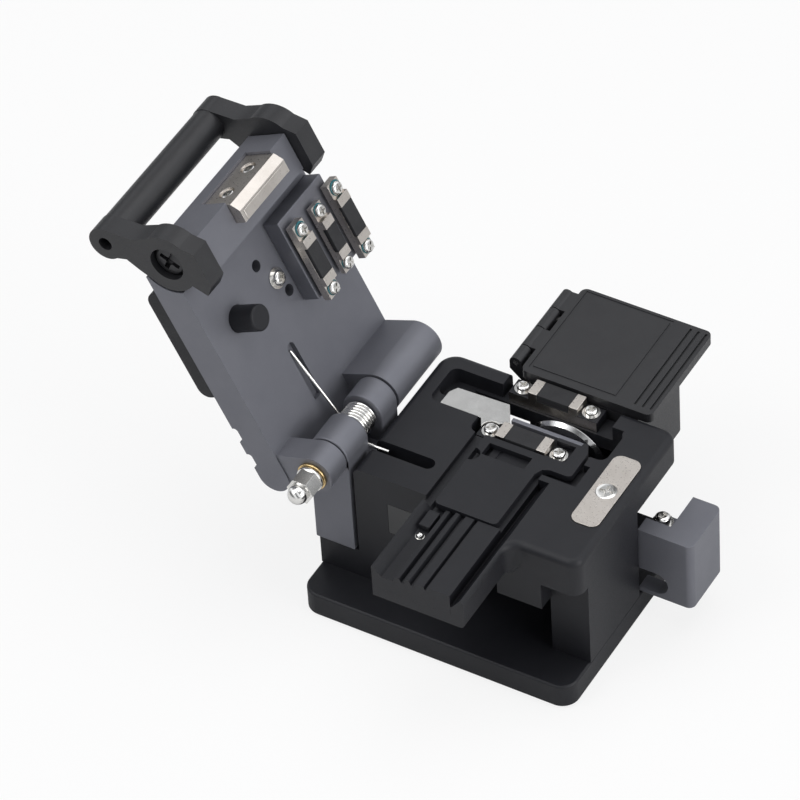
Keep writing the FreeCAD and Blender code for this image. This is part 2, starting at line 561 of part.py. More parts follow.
def make_clamp(label, y):
    """Lower clamp: a bar with two raised steel ends and the rubber pad between them."""
    low = "pocket_floor"
    near, far = "%s - clamp_width / 2" % y, "%s + clamp_width / 2" % y
    bar = block(label + "_bar", ("fibre_place - clamp_length / 2", "fibre_place + clamp_length / 2"),
                (near, far), (low, low + " + clamp_base"))
    parts = [bar]
    for number, side in enumerate(("-1", "1")):
        centre = "fibre_place + %s * (pad_length + jaw_end_length) / 2" % side
        parts.append(block("%s_end%d" % (label, number),
                           (centre + " - jaw_end_length / 2", centre + " + jaw_end_length / 2"),
                           (near, far), (low + " + clamp_base - 0.1", "pad_top")))
    ways = []
    for number, side in enumerate(("-1", "1")):
        ways.append(rod("%s_way%d" % (label, number), "z", "clamp_screw_radius + 0.1",
                        ("fibre_place + %s * clamp_screw_span / 2" % side, y), (low + " - 1", "deck_top")))
    node(label, cut(label, fuse(label + "_raw", *parts), *ways))
    pad = block(label + "_pad", ("fibre_place - pad_length / 2", "fibre_place + pad_length / 2"),
                (near, far), (low + " + clamp_base", "pad_top"))
    node(label + "_pad", pad)


def make_deck_fittings():
    make_clamp("lower_clamp_front", "front_clamp_place")
    make_clamp("lower_clamp_rear", "rear_clamp_place")
    screws = []
    washers = []
    seat = "pocket_floor + clamp_base"
    for number, (x, y) in enumerate(clamp_screw_places()):
        under = seat + " + clamp_washer_thick"
        head = rod("clamp_head%d" % number, "z", "clamp_head_radius", (x, y),
                   (under, under + " + clamp_head_height"))
        head = soften("clamp_head_round%d" % number, head, "clamp_head_height / 2",
                      lambda edge: at(edge, z=under + " + clamp_head_height"))
        stem = rod("clamp_stem%d" % number, "z", "clamp_screw_radius", (x, y),
                   (under + " - clamp_screw_reach", under))
        screws.append(fuse("clamp_screw%d" % number, head, stem))
        washers.append(tube("clamp_washer%d" % number, "z", "clamp_washer_radius",
                            "clamp_screw_radius + 0.1", (x, y), (seat, under)))
    node("clamp_screws", group("clamp_screws", screws))
    node("clamp_washers", group("clamp_washers", washers))
    low = "pocket_floor"
    outline = [("pocket_x + 3.3", "front_clamp_place + 2.5"), ("pocket_x + 3.4", "blade_y - 1.8"),
               ("pocket_x + 4.8", "blade_y + 0.6"), ("fibre_place - 10.2", "blade_y + 1.2"),
               ("fibre_place - 6.8", "blade_y - 4.8"),
               ("fibre_place - clamp_screw_span / 2 - 2.7", "front_clamp_place - 0.4"),
               ("fibre_place - clamp_length / 2 - 1.3", "front_clamp_place + 2.5")]
    guard = prism("guard_blank", "xy", outline, ("guard_z", "guard_z + guard_thick"))
    bite = rod("guard_bite", "z", "clamp_washer_radius + 0.3",
               ("fibre_place - clamp_screw_span / 2", "front_clamp_place"), ("pocket_floor", "deck_top"))
    node("guard_plate", cut("guard_plate", guard, bite))
    shield = block("blade_shield", ("fibre_place - 6.7", "fibre_place - 6.7 + shield_length"),
                   ("shield_y", "shield_y + shield_thick"), (low, "deck_top"))
    node("blade_shield", shield)
    plate = block("catch_blank", ("catch_x - catch_width / 2", "catch_x + catch_width / 2"),
                  ("catch_place - catch_length / 2", "catch_place + catch_length / 2"),
                  ("catch_top - catch_thick", "catch_top"))
    plate = soften("catch_round", plate, "catch_corner", lambda edge: runs_along(edge, "z"))
    sink = rod("catch_sink", "z", "catch_head + 0.05", ("catch_x", "catch_place"),
               ("catch_top - catch_head_sink", "catch_top + 1"))
    way = rod("catch_way", "z", "catch_screw_radius + 0.05", ("catch_x", "catch_place"),
              ("catch_top - catch_thick - 1", "catch_top"))
    node("catch_plate", cut("catch_plate", plate, sink, way))
    head = rod("catch_screw_head", "z", "catch_head", ("catch_x", "catch_place"),
               ("catch_top - catch_head_sink", "catch_top - 0.05"))
    stem = rod("catch_screw_stem", "z", "catch_screw_radius", ("catch_x", "catch_place"),
               ("catch_top - catch_screw_reach", "catch_top - catch_head_sink"))
    node("catch_screw", fuse("catch_screw", head, stem))


# --- blade carriage ------------------------------------------------------------------------

PLACES["carriage_left"] = "blade_rest - carriage_length / 2"
PLACES["carriage_right"] = "blade_rest + carriage_length / 2"
PLACES["carriage_low"] = "base_top + rail_gap + 1"
PLACES["carriage_top"] = "rail_top + rail_gap + carriage_height"
PLACES["blade_back"] = "blade_y + blade_thick / 2"
PLACES["holder_front"] = "blade_back + blade_gap"
PLACES["holder_back"] = "holder_front + holder_thick"
PLACES["shelf_z"] = "knob_bottom + knob_height - knob_screw_height - knob_washer_thick - 0.5"


def make_carriage():
    rail_end = "blade_rest + carriage_length / 2 + 3"
    rail = block("carriage_rail", (rail_end + " - rail_length", rail_end),
                 ("blade_y - rail_width / 2", "blade_y + rail_width / 2"), ("base_top", "rail_top"))
    node("carriage_rail", rail)
    raw = block("carriage_raw", ("carriage_left", "carriage_right"),
                ("blade_y - carriage_width / 2", "blade_y + carriage_width / 2"),
                ("carriage_low", "carriage_top"))
    groove = block("carriage_groove", ("carriage_left - 1", "carriage_right + 1"),
                   ("blade_y - rail_width / 2 - rail_gap", "blade_y + rail_width / 2 + rail_gap"),
                   ("base_top", "rail_top + rail_gap"))
    well = rod("blade_well", "y", "blade_radius + 0.6", ("blade_rest", "blade_z"),
               ("blade_y - blade_thick / 2 - blade_gap", "holder_front"))
    arm = block("carriage_arm", ("carriage_right", "knob_right - knob_side_thick - 0.1"),
                ("knob_front + knob_front_thick + 0.1", "knob_front + knob_front_thick + 0.1 + arm_width"),
                ("shelf_z - knob_shelf - arm_height", "shelf_z - knob_shelf"))
    riser = block("carriage_riser", ("carriage_right - 5", "carriage_right"),
                  ("knob_front + knob_front_thick + 0.1", "knob_front + knob_front_thick + 0.1 + arm_width"),
                  ("carriage_top - 1", "shelf_z - knob_shelf"))
    thread = rod("arm_thread", "z", "1.2 + thread_clear", ("knob_screw_x", "knob_screw_y"),
                 ("shelf_z - knob_shelf - arm_height - 1", "shelf_z"))
    body = cut("carriage_cut", raw, groove, well)
    body = fuse("carriage_joined", body, arm, riser)
    node("blade_carriage", cut("blade_carriage", body, thread))
    plate = block("holder_plate", ("blade_rest - holder_width / 2", "blade_rest + holder_width / 2"),
                  ("holder_front", "holder_back"), ("carriage_top", "blade_z + holder_over"))
    plate = soften("holder_round", plate, "holder_over - 0.5",
                   lambda edge: runs_along(edge, "y") and at(edge, z="blade_z + holder_over"))
    way = rod("holder_way", "y", "blade_bore + thread_clear", ("blade_rest", "blade_z"), ("holder_front - 1", "holder_back + 1"))
    node("blade_holder", cut("blade_holder", plate, way))
    wheel = tube("blade_disc", "y", "blade_radius", "blade_bore + blade_running", ("blade_rest", "blade_z"),
                 ("blade_y - blade_thick / 2", "blade_back"))
    wheel = soften("blade_wheel", wheel, "blade_thick / 2 - 0.05",
                   lambda edge: abs(edge.BoundBox.XLength - 2 * value("blade_radius")) < 1e-3, "Part::Chamfer")
    node("blade_wheel", wheel)
    hub = rod("hub", "y", "hub_radius", ("blade_rest", "blade_z"),
              ("blade_y - blade_thick / 2 - hub_thick - 0.1", "blade_y - blade_thick / 2 - 0.1"))
    spindle = rod("spindle", "y", "blade_bore", ("blade_rest", "blade_z"),
                  ("blade_y - blade_thick / 2 - 0.1", "holder_back"))
    node("blade_spindle", fuse("blade_spindle", hub, spindle))
    spring = tube("return_spring", "x", "spring_radius", "spring_radius - spring_wall",
                  ("blade_y - spring_place", "carriage_top - spring_radius - 0.5"),
                  ("deck_left + channel_end_wall + 0.05", "carriage_left - 0.05"))
    node("return_spring", spring)


PLACES["knob_screw_x"] = "base_right + 2.7"
PLACES["knob_screw_y"] = "knob_front + knob_front_thick + knob_washer + 0.2"


def make_knob():
    top = "knob_bottom + knob_height"
    front = block("knob_front_wall", ("knob_left", "knob_right"), ("knob_front", "knob_front + knob_front_thick"),
                  ("knob_bottom", top))
    side = block("knob_side_wall", ("knob_right - knob_side_thick", "knob_right"),
                 ("knob_front", "knob_front + knob_depth"), ("knob_bottom", top))
    whole = fuse("knob_raw", front, side)
    whole = soften("knob_round_front", whole, "knob_round",
                   lambda edge: runs_along(edge, "z") and at(edge, x="knob_right"))
    shelf = block("knob_shelf_block", ("knob_screw_x - knob_washer", "knob_right - knob_side_thick + 1"),
                  ("knob_front + knob_front_thick - 1", "knob_screw_y + knob_washer"),
                  ("shelf_z - knob_shelf", "shelf_z"))
    whole = fuse("knob_joined", whole, shelf)
    low = "knob_bottom + knob_slot_floor"
    slot = block("knob_slot", ("knob_left - 1", "knob_left + knob_slot_reach - knob_slot_height / 2"),
                 ("knob_front - 1", "knob_front + knob_front_thick + 1"), (low, low + " + knob_slot_height"))
    end = rod("knob_slot_end", "y", "knob_slot_height / 2",
              ("knob_left + knob_slot_reach - knob_slot_height / 2", low + " + knob_slot_height / 2"),
              ("knob_front - 1", "knob_front + knob_front_thick + 1"))
    way = rod("knob_way", "z", "1.3", ("knob_screw_x", "knob_screw_y"), ("shelf_z - knob_shelf - 1", top))
    node("thumb_knob", cut("thumb_knob", whole, slot, end, way))
    under = "shelf_z + knob_washer_thick"
    head = rod("knob_head", "z", "knob_screw_head", ("knob_screw_x", "knob_screw_y"),
               (under, under + " + knob_screw_height"))
    stem = rod("knob_stem", "z", "1.2", ("knob_screw_x", "knob_screw_y"),
               ("shelf_z - knob_shelf - arm_height", under))
    socket = rod("knob_socket", "z", "1.2", ("knob_screw_x", "knob_screw_y"),
                 (under + " + knob_screw_height - 1.2", under + " + knob_screw_height + 1"))
    node("knob_screw", cut("knob_screw", fuse("knob_screw_raw", head, stem), socket))
    node("knob_washer", tube("knob_washer_ring", "z", "knob_washer", "1.3", ("knob_screw_x", "knob_screw_y"),
                             ("shelf_z", under)))


# --- hinge ---------------------------------------------------------------------------------

PLACES["foot_top"] = "base_top + post_foot_height"
PLACES["shaft_front"] = "lid_front + lid_lap - bush_flange_thick - washer_thick"


def make_hinge():
    """The post stands beside the body and carries two knuckles with the torsion spring between."""
    left, right = "hinge_x - post_radius", "hinge_x + post_radius"
    post = block("post_block", (left, right), ("post_front", "post_back"), ("foot_top", "hinge_z"))
    barrel = rod("post_barrel", "y", "post_radius", ("hinge_x", "hinge_z"), ("post_front", "post_back"))
    bay = block("post_bay_cut", (left + " - 1", right + " + 1"), ("post_bay", "post_rear"),
                ("hinge_z - post_shoulder", "hinge_z + post_radius + 1"))
    bore = rod("post_bore", "y", "shaft_radius + thread_clear", ("hinge_x", "hinge_z"), ("post_front - 1", "post_back + 1"))
    node("hinge_post", cut("hinge_post", fuse("post_raw", post, barrel), bay, bore))
    shaft = rod("hinge_shaft", "y", "shaft_radius", ("hinge_x", "hinge_z"),
                ("shaft_front - nut_height + 0.4", "lid_back - 0.6"))
    node("hinge_shaft", shaft)
    clear = "shaft_radius + shaft_running"
    washer = tube("hinge_washer", "y", "washer_radius", "shaft_radius + thread_clear", ("hinge_x", "hinge_z"),
                  ("shaft_front", "shaft_front + washer_thick - 0.1"))
    node("hinge_washer", washer)
    hexagon = doc.addObject("Part::Prism", "nut_hex")
    hexagon.Polygon = 6
    hexagon.Placement = Placement(Vector(), TURNS["y"])
    hexagon.setExpression("Circumradius", ex("nut_flats * 0.57735"))
    hexagon.setExpression("Height", ex("nut_height"))
    hexagon.setExpression("Placement.Base.x", ex("hinge_x"))
    hexagon.setExpression("Placement.Base.y", ex("shaft_front - nut_height"))
    hexagon.setExpression("Placement.Base.z", ex("hinge_z"))
    dome = doc.addObject("Part::Sphere", "nut_dome")
    dome.setExpression("Radius", ex("dome_radius"))
    dome.setExpression("Placement.Base.x", ex("hinge_x"))
    dome.setExpression("Placement.Base.y", ex("shaft_front - nut_height - 0.9"))
    dome.setExpression("Placement.Base.z", ex("hinge_z"))
    keep = block("dome_keep", ("hinge_x - 9", "hinge_x + 9"), ("shaft_front - nut_height - 9", "shaft_front - nut_height + 0.2"),
                 ("hinge_z - 9", "hinge_z + 9"))
    half = doc.addObject("Part::Common", "nut_dome_half")
    half.Base = dome
    half.Tool = keep
    bore = rod("nut_bore", "y", "shaft_radius + thread_clear", ("hinge_x", "hinge_z"), ("shaft_front - nut_height + 0.4", "shaft_front + 1"))
    node("cap_nut", cut("cap_nut", fuse("cap_nut_raw", hexagon, half), bore))
    coil = tube("spring_coil", "y", "coil_radius", "coil_radius - coil_wire", ("hinge_x", "hinge_z"),
                ("post_bay + 0.1", "post_rear - 0.1"))
    leg = rod("spring_tail", "x", "coil_wire / 2", ("-deck_slot_place", "deck_top - 1.2"),
              ("hinge_x + 3", "deck_left + 5"))
    node("torsion_spring", fuse("torsion_spring", coil, leg))
    return clear


# --- lid, drawn shut about the hinge pin ---------------------------------------------------

PLACES["carrier_front"] = "lid_back - 0.3 - carrier_width"
PLACES["carrier_z"] = "lid_offset - carrier_height"
PLACES["upper_x"] = "fibre_place - hinge_x"
PLACES["plunger_x"] = "plunger_place_x"
PLACES["plunger_y"] = "lid_front + plunger_place_y"


def make_lid(clear):
    far = "lid_length"
    outline = [("0", "lid_offset"), (far + " - boss_length", "lid_offset"),
               (far + " - boss_length", "lid_offset - boss_drop"), (far, "lid_offset - boss_drop"),
               (far, "lid_outer - lid_end_slope"), (far + " - lid_end_slope", "lid_outer"), ("0", "lid_outer")]
    plate = prism("lid_plate_profile", "xz", outline, ("lid_front", "lid_back"))
    end = rod("lid_round_end", "y", "lid_thick / 2", ("0", "lid_offset + lid_thick / 2"), ("lid_front", "lid_back"))
    lug_front = ("lid_front + lid_lap", "post_front - knuckle_gap")
    lug_back = ("post_back + knuckle_gap", "lid_back")
    parts = [plate, end]
    tools = []
    for name, pair, radius in (("front", lug_front, "lid_front_radius"), ("rear", lug_back, "lid_rear_radius")):
        web = [("-(%s) * 0.8" % radius, "0"), (radius, "0"), ("lug_reach", "lid_offset + 0.5"),
               ("-lid_thick / 2 + 1", "lid_offset + 3.4")]
        parts.append(prism("lug_%s" % name, "xz", web, pair))
        parts.append(rod("knuckle_%s" % name, "y", radius, ("0", "0"), pair))
    tools.append(rod("lid_bush_bore", "y", "bush_radius", ("0", "0"), ("lid_front - 1", "post_front")))
    tools.append(rod("lid_rear_bore", "y", clear, ("0", "0"), ("post_back", "lid_back - 0.5")))
    # side notches in which the handle arms turn
    for name, pair in (("front", ("lid_front - 1", "boss_front")), ("rear", ("boss_back", "lid_back + 1"))):
        tools.append(rod("notch_%s" % name, "y", "notch_radius", ("pivot_x", "pivot_z"), pair))
        tools.append(block("notch_end_%s" % name, ("pivot_x", "lid_length + 1"), pair,
                           ("lid_offset - boss_drop - 1", "lid_outer + 1")))
        tools.append(block("notch_neck_%s" % name, ("pivot_x - 3.5", "pivot_x + 0.1"), pair,
                           ("pivot_z + 8", "lid_outer + 1")))
        tools.append(block("notch_boss_%s" % name, ("lid_length - boss_length - 1", "lid_length + 1"), pair,
                           ("lid_offset - boss_drop - 1", "lid_offset")))
    for name, pair in (("front", ("boss_front - 1", "boss_front + handle_thread")),
                       ("rear", ("boss_back - handle_thread", "boss_back + 1"))):
        tools.append(rod("pivot_hole_%s" % name, "y", "handle_screw_radius + thread_clear", ("pivot_x", "pivot_z"), pair))
    # recess of the magnet holder through the end
    tools.append(block("holder_recess", ("lid_length - holder_block_end - holder_block_thick", "lid_length + 1"),
                       ("holder_y - holder_block_width / 2 - 0.1", "holder_y + holder_block_width / 2 + 0.1"),
                       ("lid_offset - boss_drop - 1", "holder_block_top")))
    for number, side in enumerate(("-1", "1")):
        tools.append(rod("magnet_thread%d" % number, "x", "1 + thread_clear", ("holder_y + %s * magnet_screw_span / 2" % side,
                         "magnet_screw_z"), ("lid_length - holder_block_end - holder_block_thick - 5", "lid_length")))
    slot_y = "lid_front + lid_slot_place"
    tools.append(block("lid_slot", ("lid_slot_start", "lid_slot_start + lid_slot_length"),
                       (slot_y + " - lid_slot_width / 2", slot_y + " + lid_slot_width / 2"),
                       ("lid_offset - 1", "lid_offset + lid_slot_depth")))
    tools.append(rod("lid_slot_end", "z", "lid_slot_width / 2", ("lid_slot_start + lid_slot_length", slot_y),
                     ("lid_offset - 1", "lid_offset + lid_slot_depth")))
    for number, (x, y) in enumerate((("50.2", "lid_front + 27.2"), ("37.3", "lid_front + 33.5"))):
        tools.append(rod("lid_hole%d" % number, "z", "lid_hole_radius", (x, y),
                         ("lid_offset - 1", "lid_offset + lid_hole_depth")))
    tools.append(rod("adjust_thread", "z", "1.2 + thread_clear", ("43", "lid_front + 31.3"), ("lid_offset - 1", "lid_offset + 5")))
    tools.append(rod("plunger_way", "z", "plunger_radius + plunger_clear", ("plunger_x", "plunger_y"),
                     ("lid_offset - 1", "lid_offset + plunger_travel + plunger_well")))
    tools.append(block("back_cover_seat", ("lid_back_start - 0.1", "lid_back_start + lid_back_length + 0.1"),
                       ("cover_mid - lid_back_width / 2 - 0.1", "cover_mid + lid_back_width / 2 + 0.1"),
                       ("lid_outer - lid_back_sink", "lid_outer + 1")))
    # two finger grooves across the outside near the hinge
    for number in range(2):
        start = "grip_start + %d * grip_step" % number
        groove = block("grip_cut%d" % number, (start, start + " + grip_width"),
                       ("lid_front - 1", "lid_back + 1"), ("lid_outer - grip_sink", "lid_outer + 1"))
        tools.append(soften("grip_groove%d" % number, groove, "grip_sink - 0.3",
                            lambda edge: runs_along(edge, "y") and at(edge, z="lid_outer - grip_sink")))
    on_lid("lid_plate", cut("lid_plate", fuse("lid_mass", *parts), *tools))
    bushing = tube("hinge_bush_barrel", "y", "bush_radius", clear, ("0", "0"), lug_front)
    flange = tube("hinge_bush_flange", "y", "bush_flange", clear, ("0", "0"),
                  ("lid_front + lid_lap - bush_flange_thick", "lid_front + lid_lap"))
    on_lid("hinge_bush", fuse("hinge_bush", bushing, flange))
    back = block("lid_back_blank", ("lid_back_start", "lid_back_start + lid_back_length"),
                 ("cover_mid - lid_back_width / 2", "cover_mid + lid_back_width / 2"),
                 ("lid_outer - lid_back_sink", "lid_outer - lid_back_sink + lid_back_thick"))
    back = soften("lid_back_rounded", back, "lid_back_round",
                  lambda edge: runs_along(edge, "y") and at(edge, z="lid_outer - lid_back_sink + lid_back_thick"))
    on_lid("lid_back_pad", back)
    make_spring_leg(slot_y)
    make_lid_screw()


PLACES["handle_thread"] = "handle_screw_reach - handle_head_thick"
PLACES["holder_y"] = "catch_place + 1.4"
PLACES["magnet_screw_z"] = "holder_block_top - 4.6"
PLACES["plunger_well"] = "2.4"
PLACES["cover_mid"] = "(lid_front + lid_back) / 2"


def make_spring_leg(slot_y):
    """The end of the torsion spring that lies in the lid's slot and swings with the lid."""
    leg = rod("leg_rod", "z", "coil_wire / 2", ("leg_start_x", slot_y), ("leg_start_z", "leg_start_z + leg_length"))
    leg.Placement = Placement(leg.Placement.Base, Rotation(Vector(0, 1, 0), value("leg_lean")))
    leg.setExpression("Placement.Rotation.Angle", ex("leg_lean"))
    on_lid("spring_leg", leg)


def make_lid_screw():
    under = "lid_offset"
    place = ("43", "lid_front + 31.3")
    washer = tube("adjust_washer", "z", "3", "1.3", place, (under + " - 0.5", under))
    on_lid("lid_washer", washer)
    head = rod("adjust_head", "z", "2.2", place, (under + " - 2.1", under + " - 0.5"))
    stem = rod("adjust_stem", "z", "1.2", place, (under + " - 0.5", under + " + 5"))
    on_lid("lid_screw", fuse("lid_screw", head, stem))


def make_lid_clamps():
    carrier = block("carrier_block", ("carrier_start", "carrier_start + carrier_length"),
                    ("carrier_front", "carrier_front + carrier_width"), ("carrier_z", "lid_offset"))
    on_lid("clamp_carrier", carrier)
    for name, y, width, length, face, jaw in (
            ("front", "front_clamp_place", "upper_width", "pad_length", "upper_pad_z", "upper_jaw"),
            ("rear", "rear_clamp_place", "upper_width", "pad_length", "upper_pad_z", "upper_jaw"),
            ("anvil", "blade_y + 0.6", "anvil_width", "anvil_pad_length", "anvil_pad_z", "anvil_jaw")):
        make_upper_jaw(name, y, width, length, face, jaw)


def make_upper_jaw(name, y, width, length, face, jaw):
    """A jaw that slides towards the lid on its two screws, with a rubber pad on its face."""
    label = "anvil" if name == "anvil" else "upper_clamp_" + name
    near, far = "%s - %s / 2" % (y, width), "%s + %s / 2" % (y, width)
    under = "carrier_z - upper_gap - upper_travel"
    span = "%s / 2 + jaw_end_length" % length
    bar_low = "%s + %s" % (face, jaw)
    bar = block(label + "_bar", ("upper_x - (%s) - 4.4" % span, "upper_x + (%s) + 4.4" % span), (near, far),
                (bar_low, under))
    parts = [bar]
    for number, side in enumerate(("-1", "1")):
        centre = "upper_x + %s * (%s + jaw_end_length) / 2" % (side, length)
        parts.append(block("%s_end%d" % (label, number),
                           (centre + " - jaw_end_length / 2", centre + " + jaw_end_length / 2"),
                           (near, far), (face, bar_low + " + 0.1")))
    ways = []
    screws = []
    for number, side in enumerate(("-1", "1")):
        place = ("upper_x + %s * ((%s) + 2.2)" % (side, span), y)
        ways.append(rod("%s_way%d" % (label, number), "z", "clamp_screw_radius + 0.15", place,
                        (face + " - 1", "lid_offset")))
        head = rod("%s_head%d" % (label, number), "z", "clamp_head_radius", place,
                   (bar_low + " - clamp_head_height - 0.05", bar_low + " - 0.05"))
        stem = rod("%s_stem%d" % (label, number), "z", "clamp_screw_radius", place,
                   (bar_low + " - 0.05", "carrier_z"))
        screws.append(fuse("%s_screw%d" % (label, number), head, stem))
    on_lid(label, cut(label, fuse(label + "_raw", *parts), *ways))
    pad = block(label + "_rubber", ("upper_x - %s / 2" % length, "upper_x + %s / 2" % length), (near, far),
                (face, bar_low))
    on_lid(label + "_pad", pad)
    on_lid(label + "_screws", group(label + "_screws", screws))


def make_magnet():
    end = "lid_length - holder_block_end"
    low = "magnet_z + magnet_proud"
    inner = end + " - holder_block_thick"
    outline = [(inner, low), (end + " - holder_bevel", low), (end, low + " + holder_bevel"),
               (end, "holder_block_top - 0.1"), (inner, "holder_block_top - 0.1")]
    near, far = "holder_y - holder_block_width / 2", "holder_y + holder_block_width / 2"
    block_body = prism("holder_profile", "xz", outline, (near, far))
    pocket = block("magnet_pocket", (inner + " - 1", inner + " + magnet_width"),
                   (near + " + magnet_inset", far + " - magnet_inset"), (low + " - 1", low + " + magnet_depth"))
    tools = [pocket]
    screws = []
    for number, side in enumerate(("-1", "1")):
        place = ("holder_y + %s * magnet_screw_span / 2" % side, "magnet_screw_z")
        tools.append(rod("magnet_sink%d" % number, "x", "magnet_screw_head + 0.3", place, (end + " - 1.6", end + " + 1")))
        tools.append(rod("magnet_way%d" % number, "x", "1.1", place, (inner + " - 1", end)))
        head = rod("magnet_head%d" % number, "x", "magnet_screw_head", place, (end + " - 1.6", end + " - 0.3"))
        stem = rod("magnet_stem%d" % number, "x", "1", place, (end + " - magnet_screw_reach", end + " - 1.6"))
        screws.append(fuse("magnet_screw%d" % number, head, stem))
    on_lid("magnet_holder", cut("magnet_holder", block_body, *tools))
    magnet = block("magnet_bar", (inner + " + 0.05", inner + " + magnet_width - 0.05"),
                   (near + " + magnet_inset + 0.05", far + " - magnet_inset - 0.05"),
                   ("magnet_z", low + " + magnet_depth - 0.05"))
    on_lid("magnet_bar", magnet)
    on_lid("magnet_screws", group("magnet_screws", screws))


def make_plunger():
    place = ("plunger_x", "plunger_y")
    barrel = rod("plunger_barrel_long", "z", "plunger_radius", place,
                 ("lid_offset - plunger_reach", "lid_offset + 0.6"))
    barrel = soften("plunger_tip_round", barrel, "0.6", lambda edge: at(edge, z="lid_offset - plunger_reach"))
    stem = rod("plunger_stem_rod", "z", "plunger_stem", place, ("lid_offset + 0.6", "lid_offset + 2.2"))
    on_lid("hold_down_plunger", fuse("hold_down_plunger", barrel, stem))


# --- carrying handle -----------------------------------------------------------------------

PLACES["bar_x"] = "pivot_x + bar_over_x"
PLACES["bar_z"] = "pivot_z + bar_over_z"
PLACES["hook_z"] = "pivot_z - hook_drop"


def handle_arm(name, pair):
    """One arm: boss on the pivot, neck up to the bar and a hook that reaches below the lid."""
    neck = [("pivot_x + 8.4", "pivot_z - 2.2"), ("pivot_x + 8.7", "pivot_z + 7.6"),
            ("bar_x + cap_radius * 0.96", "bar_z - 1.4"), ("bar_x - cap_radius * 0.8", "bar_z + 3"),
            ("bar_x - cap_radius - 0.4", "bar_z - 4.4"), ("pivot_x - 1.1", "pivot_z + 10.4"),
            ("pivot_x - 5", "pivot_z + 7.2"), ("pivot_x - 8.6", "pivot_z - 1.8")]
    hook = [("pivot_x + 8.6", "pivot_z - 1.8"), ("pivot_x + 2.4", "pivot_z + 4"),
            ("pivot_x - 5.8", "pivot_z - 3"), ("pivot_x - hook_back", "pivot_z - hook_drop + 2.7"),
            ("pivot_x - hook_tip", "hook_z"), ("pivot_x + 2.4", "hook_z")]
    boss = rod(name + "_boss", "y", "boss_radius", ("pivot_x", "pivot_z"), pair)
    cap = rod(name + "_cap", "y", "cap_radius", ("bar_x", "bar_z"), pair)
    return [prism(name + "_neck", "xz", neck, pair), prism(name + "_hook", "xz", hook, pair), boss, cap]


def make_handle():
    front = ("lid_front", "boss_front - arm_side_gap")
    rear = ("boss_back + arm_side_gap", "lid_back")
    parts = handle_arm("arm_front", front) + handle_arm("arm_rear", rear)
    parts.append(rod("handle_bar", "y", "bar_radius", ("bar_x", "bar_z"), ("lid_front + 1", "lid_back - 1")))
    tools = []
    screws = []
    for number, (outer, inner, sign) in enumerate((("lid_front", "boss_front", 1), ("lid_back", "boss_back", -1))):
        def span(first, second):
            pair = ["%s + %d * (%s)" % (outer, sign, first), "%s + %d * (%s)" % (outer, sign, second)]
            return tuple(pair if sign > 0 else pair[::-1])
        centre = ("pivot_x", "pivot_z")
        tools.append(rod("arm_sink%d" % number, "y", "handle_head + 0.3", centre,
                         span("-1", "handle_sink + handle_head_thick")))
        tools.append(rod("arm_way%d" % number, "y", "handle_screw_radius + 0.05", centre,
                         span("0", "boss_inset")))
        tools.append(rod("arm_hole%d" % number, "y", "bar_hole", ("bar_x", "bar_z"),
                         span("-1", "bar_hole_depth")))
        head = rod("pivot_head%d" % number, "y", "handle_head", centre,
                   span("handle_sink - 0.05", "handle_sink + handle_head_thick - 0.05"))
        stem = rod("pivot_stem%d" % number, "y", "handle_screw_radius", centre,
                   span("handle_sink + handle_head_thick - 0.05", "boss_inset + handle_thread - 0.5"))
        screws.append(fuse("pivot_screw%d" % number, head, stem))
    on_lid("carry_handle", cut("carry_handle", fuse("handle_raw", *parts), *tools))
    on_lid("handle_screws", group("handle_screws", screws))


# --- scrap bin -----------------------------------------------------------------------------

PLACES["bin_x"] = "-bin_left"
PLACES["bin_back"] = "bin_front + bin_depth"
PLACES["bin_low"] = "bin_top - bin_height"


def make_bin():
    shell = block("bin_shell", ("bin_x", "bin_x + bin_width"), ("bin_front", "bin_back"), ("bin_low", "bin_top"))
    shell = soften("bin_round", shell, "2.5", lambda edge: runs_along(edge, "z") and at(edge, y="bin_back"))
    inside = block("bin_inside", ("bin_x + bin_wall", "bin_x + bin_width - bin_wall"),
                   ("bin_front + bin_wall", "bin_back - bin_wall"), ("bin_low + bin_wall", "bin_top + 1"))
    mouth = block("bin_mouth", ("bin_x + 4", "bin_x + bin_width - 4"), ("bin_front - 1", "bin_front + bin_wall + 1"),
                  ("bin_top - 6 - bin_mouth_height", "bin_top - 6"))
    ear_parts = []
    ways = []
    ears = (("0", "flap_knuckle_length * 0.7"), ("flap_depth * 0.5 - flap_knuckle_length / 2",
            "flap_depth * 0.5 + flap_knuckle_length / 2"))
    body = cut("bin_hollow", shell, inside, mouth)
    for number, (first, last) in enumerate(ears):
        pair = ("bin_front + 3 + %s" % first, "bin_front + 3 + %s" % last)
        ear_parts.append(rod("bin_ear%d" % number, "y", "flap_knuckle", ("flap_hinge_x", "flap_hinge_z"), pair))
        ear_parts.append(prism("bin_arm%d" % number, "xz",
                               [("flap_hinge_x - flap_knuckle", "flap_hinge_z"),
                                ("flap_hinge_x - flap_knuckle", "flap_hinge_z - 2.6"),
                                ("bin_x", "bin_top - 7.5"), ("bin_x + bin_wall / 2", "bin_top - 7.5"),
                                ("bin_x + bin_wall / 2", "bin_top - 0.5"), ("flap_hinge_x + flap_knuckle", "bin_top - 0.5"),
                                ("flap_hinge_x + flap_knuckle", "flap_hinge_z")], pair))
    ways.append(rod("bin_pin_way", "y", "flap_pin + thread_clear", ("flap_hinge_x", "flap_hinge_z"),
                    ("bin_front", "bin_front + flap_depth")))
    node("scrap_bin", cut("scrap_bin", fuse("bin_raw", body, *ear_parts), *ways))
    make_flap(ears)


